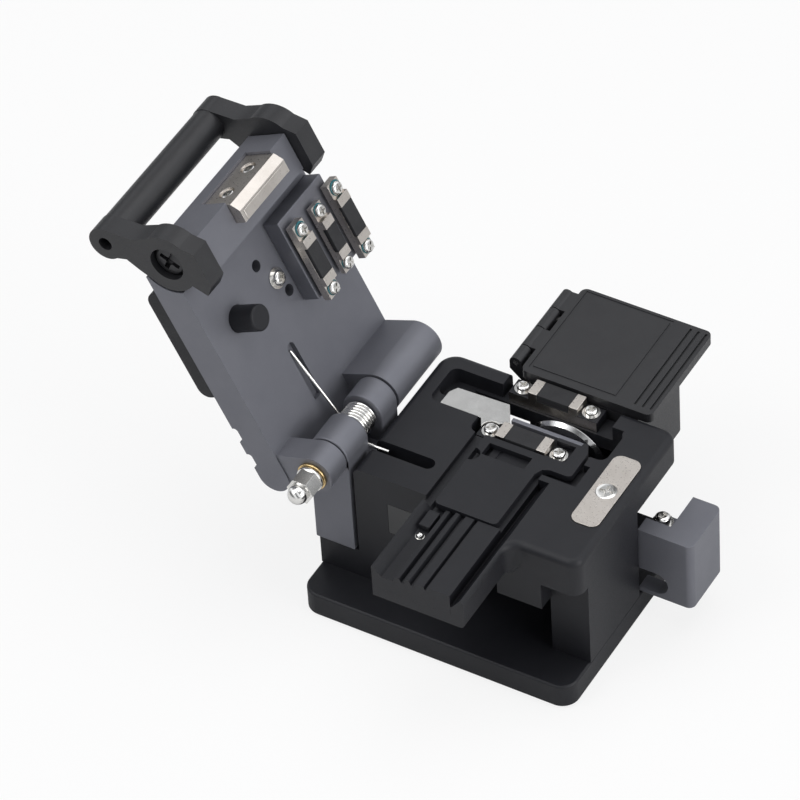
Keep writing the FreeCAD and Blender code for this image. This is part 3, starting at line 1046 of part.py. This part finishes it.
def make_flap(ears):
    y_pair = ("bin_front", "bin_front + flap_depth")
    plate = block("flap_blank", ("flap_x", "flap_x + flap_width"), y_pair, ("flap_bottom", "flap_bottom + flap_thick"))
    plate = soften("flap_rounded", plate, "flap_round", lambda edge: runs_along(edge, "z"))
    parts = [plate]
    gap = "0.3"
    barrels = (("bin_front + 3 + (%s) + %s" % (ears[0][1], gap), "bin_front + 3 + (%s) - %s" % (ears[1][0], gap)),
               ("bin_front + 3 + (%s) + %s" % (ears[1][1], gap), "bin_front + flap_depth - 3"))
    for number, pair in enumerate(barrels):
        parts.append(rod("flap_barrel%d" % number, "y", "flap_knuckle", ("flap_hinge_x", "flap_hinge_z"), pair))
        parts.append(block("flap_web%d" % number, ("flap_hinge_x", "flap_x + 1"), pair,
                           ("flap_hinge_z - flap_knuckle + 0.4", "flap_hinge_z + flap_knuckle - 0.4")))
    tools = [rod("flap_pin_way", "y", "flap_pin + flap_pin_running", ("flap_hinge_x", "flap_hinge_z"), y_pair)]
    low = "flap_bottom + flap_thick - 0.5"
    for number in range(3):
        x = "flap_x + flap_width - 0.95 - 2.35 * %d" % number
        tools.append(block("flap_grip%d" % number, (x + " - 0.7", x), ("bin_front + 2.2", "bin_front + flap_depth - 1.3"),
                           (low, low + " + 1")))
    node("bin_flap", cut("bin_flap", fuse("flap_raw", *parts), *tools))
    pin = rod("bin_pin", "y", "flap_pin", ("flap_hinge_x", "flap_hinge_z"),
              ("bin_front + 3", "bin_front + flap_depth - 3"))
    node("bin_pin", pin)


make_body(make_base())
make_fixture()
make_deck_fittings()
make_carriage()
make_knob()
make_lid(make_hinge())
make_lid_clamps()
make_magnet()
make_plunger()
make_handle()
make_bin()

doc.recompute()
for item in doc.Objects:
    if "Invalid" in item.State or "Error" in item.State:
        raise RuntimeError("%s did not rebuild: %s" % (item.Name, item.State))
for piece in NODES:
    shape = piece.Shape
    if shape.isNull() or not shape.isValid() or not shape.Solids:
        raise RuntimeError("%s has no sound solid" % piece.Label)

os.makedirs("parts", exist_ok=True)
for piece in NODES:
    piece.Shape.exportStep("parts/%s.step" % piece.Label)
    print("%-26s %2d solid(s) %9.1f mm3" % (piece.Label, len(piece.Shape.Solids), piece.Shape.Volume))
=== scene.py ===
import json
import math

import bpy
from mathutils import Matrix, Vector


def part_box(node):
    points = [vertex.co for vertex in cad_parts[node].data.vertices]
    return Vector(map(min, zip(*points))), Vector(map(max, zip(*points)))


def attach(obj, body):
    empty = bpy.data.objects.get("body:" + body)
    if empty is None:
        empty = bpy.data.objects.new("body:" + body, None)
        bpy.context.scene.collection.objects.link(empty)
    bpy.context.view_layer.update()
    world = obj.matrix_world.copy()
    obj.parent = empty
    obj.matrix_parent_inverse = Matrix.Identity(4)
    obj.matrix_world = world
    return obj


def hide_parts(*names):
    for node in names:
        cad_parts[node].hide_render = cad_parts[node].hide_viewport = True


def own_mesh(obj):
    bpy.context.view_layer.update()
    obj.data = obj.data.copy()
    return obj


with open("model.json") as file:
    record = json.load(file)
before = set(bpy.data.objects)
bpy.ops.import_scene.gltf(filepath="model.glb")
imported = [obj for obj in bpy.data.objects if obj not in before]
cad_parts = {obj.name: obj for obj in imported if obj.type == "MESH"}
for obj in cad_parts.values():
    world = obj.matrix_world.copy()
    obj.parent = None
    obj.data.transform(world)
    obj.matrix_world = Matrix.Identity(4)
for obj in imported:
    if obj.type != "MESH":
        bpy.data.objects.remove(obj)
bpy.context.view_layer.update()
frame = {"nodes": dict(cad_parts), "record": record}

MM = 0.001
RECORD = frame["record"]
NODES = frame["nodes"]
BODIES = RECORD["behaviour"]["bodies"]
JOINTS = {joint["name"]: joint for joint in RECORD["behaviour"]["joints"]}
OWNER = {node: body for body, nodes in BODIES.items() for node in nodes}
SLOT_OF = {part["node"]: part["material_slot"] for part in RECORD["subparts"]}

# The lid's own frame: drawn shut on the hinge pin, then swung open about it.
LID_SWING = JOINTS["lid_hinge"]["range_deg"][1]
HINGE = Vector(JOINTS["lid_hinge"]["pos_m"])
LID = Matrix.Translation(HINGE) @ Matrix.Rotation(math.radians(-LID_SWING), 4, "Y")
WORLD = Matrix.Identity(4)

# --- modelling helpers --------------------------------------------------------------


def clear_selection():
    if bpy.context.object and bpy.context.object.mode != "OBJECT":
        bpy.ops.object.mode_set(mode="OBJECT")
    bpy.ops.object.select_all(action="DESELECT")


def pick(piece):
    clear_selection()
    piece.select_set(True)
    bpy.context.view_layer.objects.active = piece


def settle(piece):
    """Put the piece's place into its mesh."""
    pick(piece)
    bpy.ops.object.transform_apply(location=True, rotation=True, scale=True)
    return piece


def harden(piece, kind, **settings):
    """Add a modifier and apply it."""
    pick(piece)
    modifier = piece.modifiers.new(kind.lower(), kind)
    for name, value in settings.items():
        setattr(modifier, name, value)
    bpy.ops.object.modifier_apply(modifier=modifier.name)
    return piece


def smooth(piece, angle=32):
    pick(piece)
    bpy.ops.object.shade_smooth_by_angle(angle=math.radians(angle))
    return piece


def flatten_shading(piece, angle=35):
    """Smooth shading in which the big flat faces stay flat beside their rounded edges."""
    smooth(piece, angle)
    return harden(piece, "WEIGHTED_NORMAL", keep_sharp=True, weight=60)


def bevel(piece, width, segments=2, angle=30):
    return harden(piece, "BEVEL", width=width, segments=segments, limit_method="ANGLE",
                  angle_limit=math.radians(angle), use_clamp_overlap=True)


def fix_normals(piece):
    pick(piece)
    bpy.ops.object.mode_set(mode="EDIT")
    bpy.ops.mesh.select_all(action="SELECT")
    bpy.ops.mesh.remove_doubles(threshold=0.000002)
    bpy.ops.mesh.normals_make_consistent(inside=False)
    bpy.ops.object.mode_set(mode="OBJECT")
    return piece


def slab(low, high):
    """A box between two corners, in metres."""
    clear_selection()
    middle = [(a + b) / 2 for a, b in zip(low, high)]
    bpy.ops.mesh.primitive_cube_add(size=1, location=middle)
    piece = bpy.context.object
    piece.scale = [b - a for a, b in zip(low, high)]
    return settle(piece)


def drum(radius, low, high, vertices=48):
    """A cylinder about Z between two heights."""
    clear_selection()
    bpy.ops.mesh.primitive_cylinder_add(vertices=vertices, radius=radius, depth=high - low,
                                        location=(0, 0, (low + high) / 2))
    return settle(bpy.context.object)


def carve(piece, cutter):
    harden(piece, "BOOLEAN", object=cutter, operation="DIFFERENCE", solver="EXACT")
    bpy.data.objects.remove(cutter)
    return piece


def join(name, pieces):
    clear_selection()
    for piece in pieces:
        piece.select_set(True)
    bpy.context.view_layer.objects.active = pieces[0]
    if len(pieces) > 1:
        bpy.ops.object.join()
    pieces[0].name = name
    return pieces[0]


def finish_piece(piece, node, paint):
    """Paint the piece, let it ride on its node's body and take its node's place."""
    piece.data.materials.clear()
    piece.data.materials.append(paint)
    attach(piece, OWNER[node])
    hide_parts(node)
    return piece


def solids_of(node, home):
    """Low and high corners of each separate solid of a node, in the frame called home."""
    mesh = NODES[node].data
    back = home.inverted()
    points = [back @ vertex.co for vertex in mesh.vertices]
    key = {}
    leader = list(range(len(points)))

    def find(index):
        while leader[index] != index:
            leader[index] = leader[leader[index]]
            index = leader[index]
        return index

    for index, point in enumerate(points):
        tag = tuple(round(value * 1e6) for value in point)
        leader[find(index)] = find(key.setdefault(tag, index))
    for edge in mesh.edges:
        leader[find(edge.vertices[0])] = find(edge.vertices[1])
    groups = {}
    for index, point in enumerate(points):
        groups.setdefault(find(index), []).append(point)
    boxes = []
    for group in groups.values():
        low = Vector([min(point[axis] for point in group) for axis in range(3)])
        high = Vector([max(point[axis] for point in group) for axis in range(3)])
        boxes.append((low, high))
    return sorted(boxes, key=lambda pair: tuple(pair[0]))


# --- finishes --------------------------------------------------------------------------------


def make_grain_group():
    """Fine grain and slow patches, shared by all finishes."""
    group = bpy.data.node_groups.new("surface_grain", "ShaderNodeTree")
    face = group.interface
    face.new_socket("Fine Scale", in_out="INPUT", socket_type="NodeSocketFloat").default_value = 4000
    face.new_socket("Patch Scale", in_out="INPUT", socket_type="NodeSocketFloat").default_value = 60
    face.new_socket("Base", in_out="INPUT", socket_type="NodeSocketColor")
    face.new_socket("Worn", in_out="INPUT", socket_type="NodeSocketColor")
    face.new_socket("Rough Low", in_out="INPUT", socket_type="NodeSocketFloat").default_value = 0.4
    face.new_socket("Rough High", in_out="INPUT", socket_type="NodeSocketFloat").default_value = 0.5
    face.new_socket("Color", in_out="OUTPUT", socket_type="NodeSocketColor")
    face.new_socket("Roughness", in_out="OUTPUT", socket_type="NodeSocketFloat")
    face.new_socket("Height", in_out="OUTPUT", socket_type="NodeSocketFloat")
    nodes, links = group.nodes, group.links
    entry = nodes.new("NodeGroupInput")
    leave = nodes.new("NodeGroupOutput")
    place = nodes.new("ShaderNodeTexCoord")
    fine = nodes.new("ShaderNodeTexNoise")
    fine.inputs["Detail"].default_value = 3
    patch = nodes.new("ShaderNodeTexNoise")
    patch.inputs["Detail"].default_value = 4
    patch.inputs["Roughness"].default_value = 0.6
    links.new(place.outputs["Object"], fine.inputs["Vector"])
    links.new(place.outputs["Object"], patch.inputs["Vector"])
    links.new(entry.outputs["Fine Scale"], fine.inputs["Scale"])
    links.new(entry.outputs["Patch Scale"], patch.inputs["Scale"])
    ramp = nodes.new("ShaderNodeMapRange")
    ramp.inputs["From Min"].default_value = 0.35
    ramp.inputs["From Max"].default_value = 0.75
    links.new(patch.outputs["Fac"], ramp.inputs["Value"])
    mix = nodes.new("ShaderNodeMix")
    mix.data_type = "RGBA"
    links.new(ramp.outputs["Result"], mix.inputs["Factor"])
    links.new(entry.outputs["Base"], mix.inputs[6])
    links.new(entry.outputs["Worn"], mix.inputs[7])
    links.new(mix.outputs[2], leave.inputs["Color"])
    rough = nodes.new("ShaderNodeMapRange")
    links.new(fine.outputs["Fac"], rough.inputs["Value"])
    rough.inputs["From Min"].default_value = 0.3
    rough.inputs["From Max"].default_value = 0.7
    links.new(entry.outputs["Rough Low"], rough.inputs["To Min"])
    links.new(entry.outputs["Rough High"], rough.inputs["To Max"])
    links.new(rough.outputs["Result"], leave.inputs["Roughness"])
    links.new(fine.outputs["Fac"], leave.inputs["Height"])
    return group


GRAIN = make_grain_group()


BUMP_DEPTH = 0.03 * MM


def finish(name, base, worn, rough, metal=0.0, fine=3500, patch=60, bump=0.1, specular=0.5):
    """A paint from two near colours, a range of roughness and the size of its grain."""
    paint = bpy.data.materials.new(name)
    paint.use_nodes = True
    nodes, links = paint.node_tree.nodes, paint.node_tree.links
    shader = nodes["Principled BSDF"]
    shader.inputs["Metallic"].default_value = metal
    shader.inputs["Specular IOR Level"].default_value = specular
    grain = nodes.new("ShaderNodeGroup")
    grain.node_tree = GRAIN
    grain.inputs["Fine Scale"].default_value = fine
    grain.inputs["Patch Scale"].default_value = patch
    grain.inputs["Base"].default_value = (*base, 1)
    grain.inputs["Worn"].default_value = (*worn, 1)
    grain.inputs["Rough Low"].default_value = rough[0]
    grain.inputs["Rough High"].default_value = rough[1]
    links.new(grain.outputs["Color"], shader.inputs["Base Color"])
    links.new(grain.outputs["Roughness"], shader.inputs["Roughness"])
    height = nodes.new("ShaderNodeBump")
    height.inputs["Strength"].default_value = bump
    height.inputs["Distance"].default_value = BUMP_DEPTH
    links.new(grain.outputs["Height"], height.inputs["Height"])
    links.new(height.outputs["Normal"], shader.inputs["Normal"])
    return paint


PAINT = {
    "black_anodised": finish("black_anodised", (0.0085, 0.0088, 0.0115),
                             (0.0118, 0.0121, 0.0152), (0.42, 0.56), fine=5200, patch=90, bump=0.16,
                             specular=0.3),
    "grey_anodised": finish("grey_anodised", (0.15, 0.153, 0.175),
                            (0.168, 0.171, 0.193), (0.42, 0.56), metal=0.45, fine=6000, patch=70, bump=0.22,
                            specular=0.35),
    "nickel": finish("nickel", (0.55, 0.51, 0.47), (0.62, 0.58, 0.54), (0.26, 0.36), metal=1.0, fine=2200,
                     patch=160, bump=0.03),
    "polished_steel": finish("polished_steel", (0.68, 0.67, 0.65), (0.76, 0.75, 0.73), (0.14, 0.24),
                             metal=1.0, fine=2600, patch=300, bump=0.03),
    "blade_steel": finish("blade_steel", (0.8, 0.79, 0.78), (0.86, 0.85, 0.84), (0.1, 0.16), metal=1.0,
                          fine=1800, patch=120, bump=0.01),
    "black_steel": finish("black_steel", (0.02, 0.02, 0.022), (0.03, 0.03, 0.033), (0.28, 0.4), metal=0.4,
                          fine=2600, patch=200, bump=0.05),
    "brass": finish("brass", (0.62, 0.45, 0.22), (0.7, 0.53, 0.28), (0.16, 0.26), metal=1.0, patch=300),
    "black_rubber": finish("black_rubber", (0.016, 0.016, 0.018), (0.024, 0.024, 0.026), (0.6, 0.75),
                           fine=3000, patch=200, bump=0.3, specular=0.35),
    "black_plastic": finish("black_plastic", (0.012, 0.012, 0.014), (0.017, 0.017, 0.019), (0.38, 0.5),
                            fine=2600, patch=120, bump=0.35, specular=0.45),
    "label_stock": finish("label_stock", (0.014, 0.0145, 0.016), (0.018, 0.0185, 0.02), (0.3, 0.36),
                          fine=1500),
    "thread_lock": finish("thread_lock", (0.0, 0.09, 0.11), (0.0, 0.14, 0.17), (0.2, 0.35), fine=900,
                          patch=900),
}


# --- castings and plates with their broken edges ---------------------------------------------


def finished_copy(node):
    source = NODES[node]
    piece = source.copy()
    piece.data = source.data.copy()
    bpy.context.collection.objects.link(piece)
    piece.parent = None
    piece.matrix_world = Matrix.Identity(4)
    piece.name = node + "_finished"
    pick(piece)
    bpy.ops.object.mode_set(mode="EDIT")
    bpy.ops.mesh.select_all(action="SELECT")
    bpy.ops.mesh.remove_doubles(threshold=0.000004)
    bpy.ops.mesh.dissolve_limited(angle_limit=math.radians(1.0))
    bpy.ops.object.mode_set(mode="OBJECT")
    return piece


def break_edges(node, width, segments=2):
    piece = bevel(finished_copy(node), width * MM, segments)
    return finish_piece(flatten_shading(piece), node, PAINT[SLOT_OF[node]])


FLAP_MARGINS = {"left": 6.5, "right": 11.4, "front": 2.0, "back": 0.9}
FLAP_LINE = {"width": 0.9, "depth": 0.6}


def flap_with_grooves():
    """The flap, with a fine frame engraved round the middle of its top."""
    low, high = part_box("bin_flap")
    low, high = Vector(low), Vector(high)
    piece = finished_copy("bin_flap")
    line, depth = FLAP_LINE["width"] * MM, FLAP_LINE["depth"] * MM
    left, right = low.x + FLAP_MARGINS["left"] * MM, high.x - FLAP_MARGINS["right"] * MM
    front, back = low.y + FLAP_MARGINS["front"] * MM, high.y - FLAP_MARGINS["back"] * MM
    strips = [((left, front), (right, front + line)), ((left, back - line), (right, back)),
              ((left, front), (left + line, back)), ((right - line, front), (right, back))]
    for start, end in strips:
        carve(piece, slab((start[0], start[1], high.z - depth), (end[0], end[1], high.z + MM)))
    bevel(piece, 0.18 * MM, 2)
    return finish_piece(flatten_shading(piece), "bin_flap", PAINT["black_plastic"])


# Width of the broken edges, in millimetres.
EDGES = {
    "base_plate": 0.4, "body_casting": 0.35, "fibre_fixture": 0.12, "cable_stop": 0.15,
    "fixture_cover": 0.2, "lower_clamp_front": 0.12, "lower_clamp_rear": 0.12, "lower_clamp_front_pad": 0.2,
    "lower_clamp_rear_pad": 0.2, "guard_plate": 0.12, "blade_shield": 0.15, "catch_plate": 0.2,
    "hinge_post": 0.4, "lid_plate": 0.4, "lid_back_pad": 0.3, "clamp_carrier": 0.35, "thumb_knob": 0.5,
    "upper_clamp_front": 0.2, "upper_clamp_rear": 0.2, "anvil": 0.18, "upper_clamp_front_pad": 0.25,
    "upper_clamp_rear_pad": 0.25, "anvil_pad": 0.25, "magnet_holder": 0.25, "magnet_bar": 0.15,
    "carry_handle": 0.9, "scrap_bin": 0.3, "cap_nut": 0.2, "hinge_bush": 0.15, "hinge_washer": 0.12,
    "hold_down_plunger": 0.2, "blade_carriage": 0.25, "blade_holder": 0.2, "carriage_rail": 0.2,
}
for node_name, edge_width in EDGES.items():
    break_edges(node_name, edge_width)
flap_with_grooves()


def blacken_below(piece, height):
    """Black faces under the given height, so that only the raised ends show bare metal."""
    piece.data.materials.append(PAINT["black_anodised"])
    for polygon in piece.data.polygons:
        if polygon.center.z < height:
            polygon.material_index = 1


for clamp in ("lower_clamp_front", "lower_clamp_rear"):
    blacken_below(bpy.data.objects[clamp + "_finished"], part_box(clamp + "_pad")[0][2] + 0.0001)


# --- screws, springs and thread lock ---------------------------------------------------------


def make_screw(head_radius, head_height, stem_radius, length, drive, flat=False):
    """A screw standing head up, with the top of its head at the origin."""
    head = drum(head_radius, -head_height, 0)
    if flat:
        bevel(head, 0.12 * MM, 2)
    else:
        pick(head)
        bpy.ops.object.mode_set(mode="EDIT")
        bpy.ops.mesh.select_all(action="DESELECT")
        bpy.ops.object.mode_set(mode="OBJECT")
        for polygon in head.data.polygons:
            polygon.select = polygon.normal.z > 0.9
        bpy.ops.object.mode_set(mode="EDIT")
        bpy.ops.mesh.bevel(offset=head_height * 0.55, segments=5, affect="EDGES")
        bpy.ops.object.mode_set(mode="OBJECT")
    if drive == "hex":
        clear_selection()
        bpy.ops.mesh.primitive_cylinder_add(vertices=6, radius=head_radius * 0.55, depth=head_height * 1.2)
        carve(head, settle(bpy.context.object))
    else:
        reach, width, depth = head_radius * 0.66, head_radius * 0.15, head_height * 0.75
        for turn in (0, 1):
            size = (reach, width) if turn else (width, reach)
            carve(head, slab((-size[0], -size[1], -depth), (size[0], size[1], MM)))
        core = drum(head_radius * 0.27, -depth * 1.1, MM, 20)
        carve(head, core)
    parts = [head]
    if length > head_height:
        parts.append(drum(stem_radius, -length, -head_height + 0.00002, 24))
    return smooth(join("screw_pattern", parts), 30)


AIM = {"+z": Matrix.Identity(4), "-z": Matrix.Rotation(math.pi, 4, "X"),
       "+x": Matrix.Rotation(math.pi / 2, 4, "Y"),
       "-y": Matrix.Rotation(math.pi / 2, 4, "X"), "+y": Matrix.Rotation(-math.pi / 2, 4, "X")}


def top_of(pair, aim):
    low, high = pair
    top = (low + high) / 2
    axis = "xyz".index(aim[1])
    top[axis] = high[axis] if aim[0] == "+" else low[axis]
    return top


def seat_screws(node, home, aim, head_radius, head_height, stem_radius, drive="cross", flat=False, turn=20):
    copies = []
    for number, pair in enumerate(solids_of(node, home)):
        way = aim[number] if isinstance(aim, (list, tuple)) else aim
        length = (pair[1] - pair[0])["xyz".index(way[1])]
        pattern = make_screw(head_radius * MM, head_height * MM, stem_radius * MM, length, drive, flat)
        spin = Matrix.Rotation(math.radians(turn + 37 * number), 4, "Z")
        pattern.data.transform(home @ Matrix.Translation(top_of(pair, way)) @ AIM[way] @ spin)
        copies.append(pattern)
    piece = join(node + "_cut", copies)
    return finish_piece(piece, node, PAINT[SLOT_OF[node]])


seat_screws("clamp_screws", WORLD, "+z", 1.9, 1.3, 1.0, turn=35)
seat_screws("catch_screw", WORLD, "+z", 2.9, 1.05, 1.4, flat=True, turn=5)
seat_screws("knob_screw", WORLD, "+z", 2.3, 2.3, 1.2, drive="hex")
for clamp in ("upper_clamp_front_screws", "upper_clamp_rear_screws", "anvil_screws"):
    seat_screws(clamp, LID, "-z", 1.9, 1.3, 1.0, turn=50)
seat_screws("lid_screw", LID, "-z", 2.2, 1.6, 1.2, turn=12)
seat_screws("magnet_screws", LID, "+x", 2.0, 1.3, 1.0, turn=30)
seat_screws("handle_screws", LID, ["-y", "+y"], 4.7, 1.6, 2.0, turn=40)


def make_torsion_spring():
    """Six close turns between the post's knuckles, and the tail that lies in the deck's slot."""
    low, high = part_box("torsion_spring")
    wire, radius, turns = 0.5 * MM, 4.2 * MM, 6
    run = high[1] - low[1]
    clear_selection()
    bpy.ops.mesh.primitive_circle_add(vertices=14, radius=wire, fill_type="NGON", location=(radius, 0, 0),
                                      rotation=(math.pi / 2, 0, 0))
    coil = settle(bpy.context.object)
    harden(coil, "SCREW", axis="Z", angle=math.radians(360 * turns), screw_offset=run - 2.2 * wire,
           iterations=1, steps=turns * 40, render_steps=turns * 40, use_merge_vertices=False)
    fix_normals(coil)
    coil.data.transform(Matrix.Translation((HINGE.x, low[1] + 1.1 * wire, HINGE.z))
                        @ Matrix.Rotation(-math.pi / 2, 4, "X"))
    tail = drum(wire, 0, high[0] - HINGE.x - 2.4 * MM, 16)
    bevel(tail, 0.2 * MM, 2)
    tail.data.transform(Matrix.Translation((HINGE.x + 2.4 * MM, low[1] + 1.1 * wire, low[2] + 0.0015))
                        @ Matrix.Rotation(math.pi / 2, 4, "Y"))
    piece = join("torsion_spring_wound", [coil, tail])
    finish_piece(smooth(piece, 40), "torsion_spring", PAINT["polished_steel"])


def make_return_spring():
    low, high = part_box("return_spring")
    wire = 0.4 * MM
    radius = (high[2] - low[2]) / 2 - wire
    turns = 9
    clear_selection()
    bpy.ops.mesh.primitive_circle_add(vertices=12, radius=wire, fill_type="NGON", location=(radius, 0, 0),
                                      rotation=(math.pi / 2, 0, 0))
    coil = settle(bpy.context.object)
    harden(coil, "SCREW", axis="Z", angle=math.radians(360 * turns),
           screw_offset=high[0] - low[0] - 2 * wire, iterations=1, steps=turns * 28, render_steps=turns * 28)
    fix_normals(coil)
    coil.data.transform(Matrix.Translation((low[0] + wire, (low[1] + high[1]) / 2, (low[2] + high[2]) / 2))
                        @ Matrix.Rotation(math.pi / 2, 4, "Y"))
    coil.name = "return_spring_wound"
    finish_piece(smooth(coil, 40), "return_spring", PAINT["polished_steel"])
    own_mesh(coil)


def make_thread_lock():
    """Drops of thread lock beside the lid's screws."""
    drops = []
    seats = [("upper_clamp_front_screws", "-z", 2.5), ("anvil_screws", "-z", 2.3),
             ("upper_clamp_rear_screws", "-z", 2.5), ("magnet_screws", "+x", 2.2)]
    for node, way, reach in seats:
        for number, pair in enumerate(solids_of(node, LID)):
            clear_selection()
            bpy.ops.mesh.primitive_torus_add(major_radius=reach * MM * 0.78, minor_radius=0.28 * MM,
                                             major_segments=28, minor_segments=8)
            ring = settle(bpy.context.object)
            drop = 1.25 * MM
            ring.data.transform(LID @ Matrix.Translation(top_of(pair, way)) @ AIM[way]
                                @ Matrix.Translation((0.12 * MM, -0.1 * MM, -drop)))
            drops.append(ring)
    piece = join("thread_lock_drops", drops)
    piece.data.materials.clear()
    piece.data.materials.append(PAINT["thread_lock"])
    smooth(piece, 60)
    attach(piece, "lid")


make_torsion_spring()
make_return_spring()
make_thread_lock()


# --- the remaining nodes keep their shape and get their finish -------------------------------

for node_name, node_object in NODES.items():
    for slot in node_object.material_slots:
        slot.material = PAINT["blade_steel" if node_name == "blade_wheel" else SLOT_OF[node_name]]


# --- studio ----------------------------------------------------------------------------------


def make_backdrop():
    clear_selection()
    bpy.ops.mesh.primitive_plane_add(size=6, location=(0, 0, -0.00002))
    floor = bpy.context.object
    floor.name = "studio_floor"
    paint = bpy.data.materials.new("studio_white")
    paint.use_nodes = True
    nodes, links = paint.node_tree.nodes, paint.node_tree.links
    nodes.clear()
    leave = nodes.new("ShaderNodeOutputMaterial")
    matt = nodes.new("ShaderNodeBsdfDiffuse")
    matt.inputs["Color"].default_value = (0.9, 0.9, 0.9, 1)
    bright = nodes.new("ShaderNodeEmission")
    bright.inputs["Color"].default_value = (1, 1, 1, 1)
    bright.inputs["Strength"].default_value = 1
    path = nodes.new("ShaderNodeLightPath")
    share = nodes.new("ShaderNodeMath")
    share.operation = "MULTIPLY"
    share.inputs[1].default_value = 0.82
    mix = nodes.new("ShaderNodeMixShader")
    links.new(path.outputs["Is Camera Ray"], share.inputs[0])
    links.new(share.outputs[0], mix.inputs["Fac"])
    links.new(matt.outputs["BSDF"], mix.inputs[1])
    links.new(bright.outputs["Emission"], mix.inputs[2])
    links.new(mix.outputs["Shader"], leave.inputs["Surface"])
    floor.data.materials.append(paint)


def make_world():
    world = bpy.data.worlds.new("studio_world")
    bpy.context.scene.world = world
    world.use_nodes = True
    nodes, links = world.node_tree.nodes, world.node_tree.links
    nodes.clear()
    leave = nodes.new("ShaderNodeOutputWorld")
    room = nodes.new("ShaderNodeBackground")
    room.inputs["Color"].default_value = (0.95, 0.97, 1.0, 1)
    place = nodes.new("ShaderNodeTexCoord")
    bands = nodes.new("ShaderNodeTexWave")
    bands.bands_direction = "DIAGONAL"
    bands.inputs["Scale"].default_value = 0.55
    bands.inputs["Distortion"].default_value = 1.5
    cards = nodes.new("ShaderNodeMapRange")
    cards.inputs["To Min"].default_value = 0.12
    cards.inputs["To Max"].default_value = 1.4
    gloss = nodes.new("ShaderNodeMapRange")
    gloss.inputs["To Min"].default_value = 0.3
    links.new(place.outputs["Generated"], bands.inputs["Vector"])
    links.new(bands.outputs["Fac"], cards.inputs["Value"])
    links.new(cards.outputs["Result"], gloss.inputs["To Max"])
    white = nodes.new("ShaderNodeBackground")
    white.inputs["Color"].default_value = (1, 1, 1, 1)
    path = nodes.new("ShaderNodeLightPath")
    links.new(path.outputs["Is Glossy Ray"], gloss.inputs["Value"])
    links.new(gloss.outputs["Result"], room.inputs["Strength"])
    mix = nodes.new("ShaderNodeMixShader")
    links.new(path.outputs["Is Camera Ray"], mix.inputs["Fac"])
    links.new(room.outputs["Background"], mix.inputs[1])
    links.new(white.outputs["Background"], mix.inputs[2])
    links.new(mix.outputs["Shader"], leave.inputs["Surface"])


LAMP_TARGET = (0, 0, 0.05)
# Name, place, width of the card and watts.
LAMPS = [
    ("key_softbox", (-0.55, -0.5, 0.95), 0.7, 5),
    ("side_softbox", (1.1, -0.05, 0.5), 0.7, 7),
    ("top_softbox", (0.05, 0.25, 1.1), 0.9, 4.5),
]


def make_lamp(name, place, size, power):
    lamp = bpy.data.lights.new(name, "AREA")
    lamp.shape = "SQUARE"
    lamp.size = size
    lamp.energy = power
    holder = bpy.data.objects.new(name, lamp)
    bpy.context.collection.objects.link(holder)
    holder.location = place
    aim = Vector(LAMP_TARGET) - Vector(place)
    holder.rotation_euler = aim.to_track_quat("-Z", "Y").to_euler()


CAMERA_PLACE = (0.56344, -0.92949, 1.13651)
CAMERA_RIGHT = (0.86803233, 0.49416075, -0.04821849)
CAMERA_DOWN = (0.31653298, -0.62559215, -0.71305072)
CAMERA_FORWARD = (-0.38252679, 0.60368834, -0.69945239)
CAMERA_LENS = 259.2
CAMERA_SENSOR = 36


def make_camera():
    camera = bpy.data.cameras.new("studio_camera")
    camera.lens = CAMERA_LENS
    camera.sensor_width = CAMERA_SENSOR
    holder = bpy.data.objects.new("studio_camera", camera)
    bpy.context.collection.objects.link(holder)
    turn = Matrix((Vector(CAMERA_RIGHT), -Vector(CAMERA_DOWN), -Vector(CAMERA_FORWARD))).transposed().to_4x4()
    holder.matrix_world = Matrix.Translation(CAMERA_PLACE) @ turn
    camera.clip_end = 20
    bpy.context.scene.camera = holder


make_backdrop()
make_world()
for lamp_settings in LAMPS:
    make_lamp(*lamp_settings)
make_camera()
bpy.context.scene.view_settings.view_transform = "Standard"
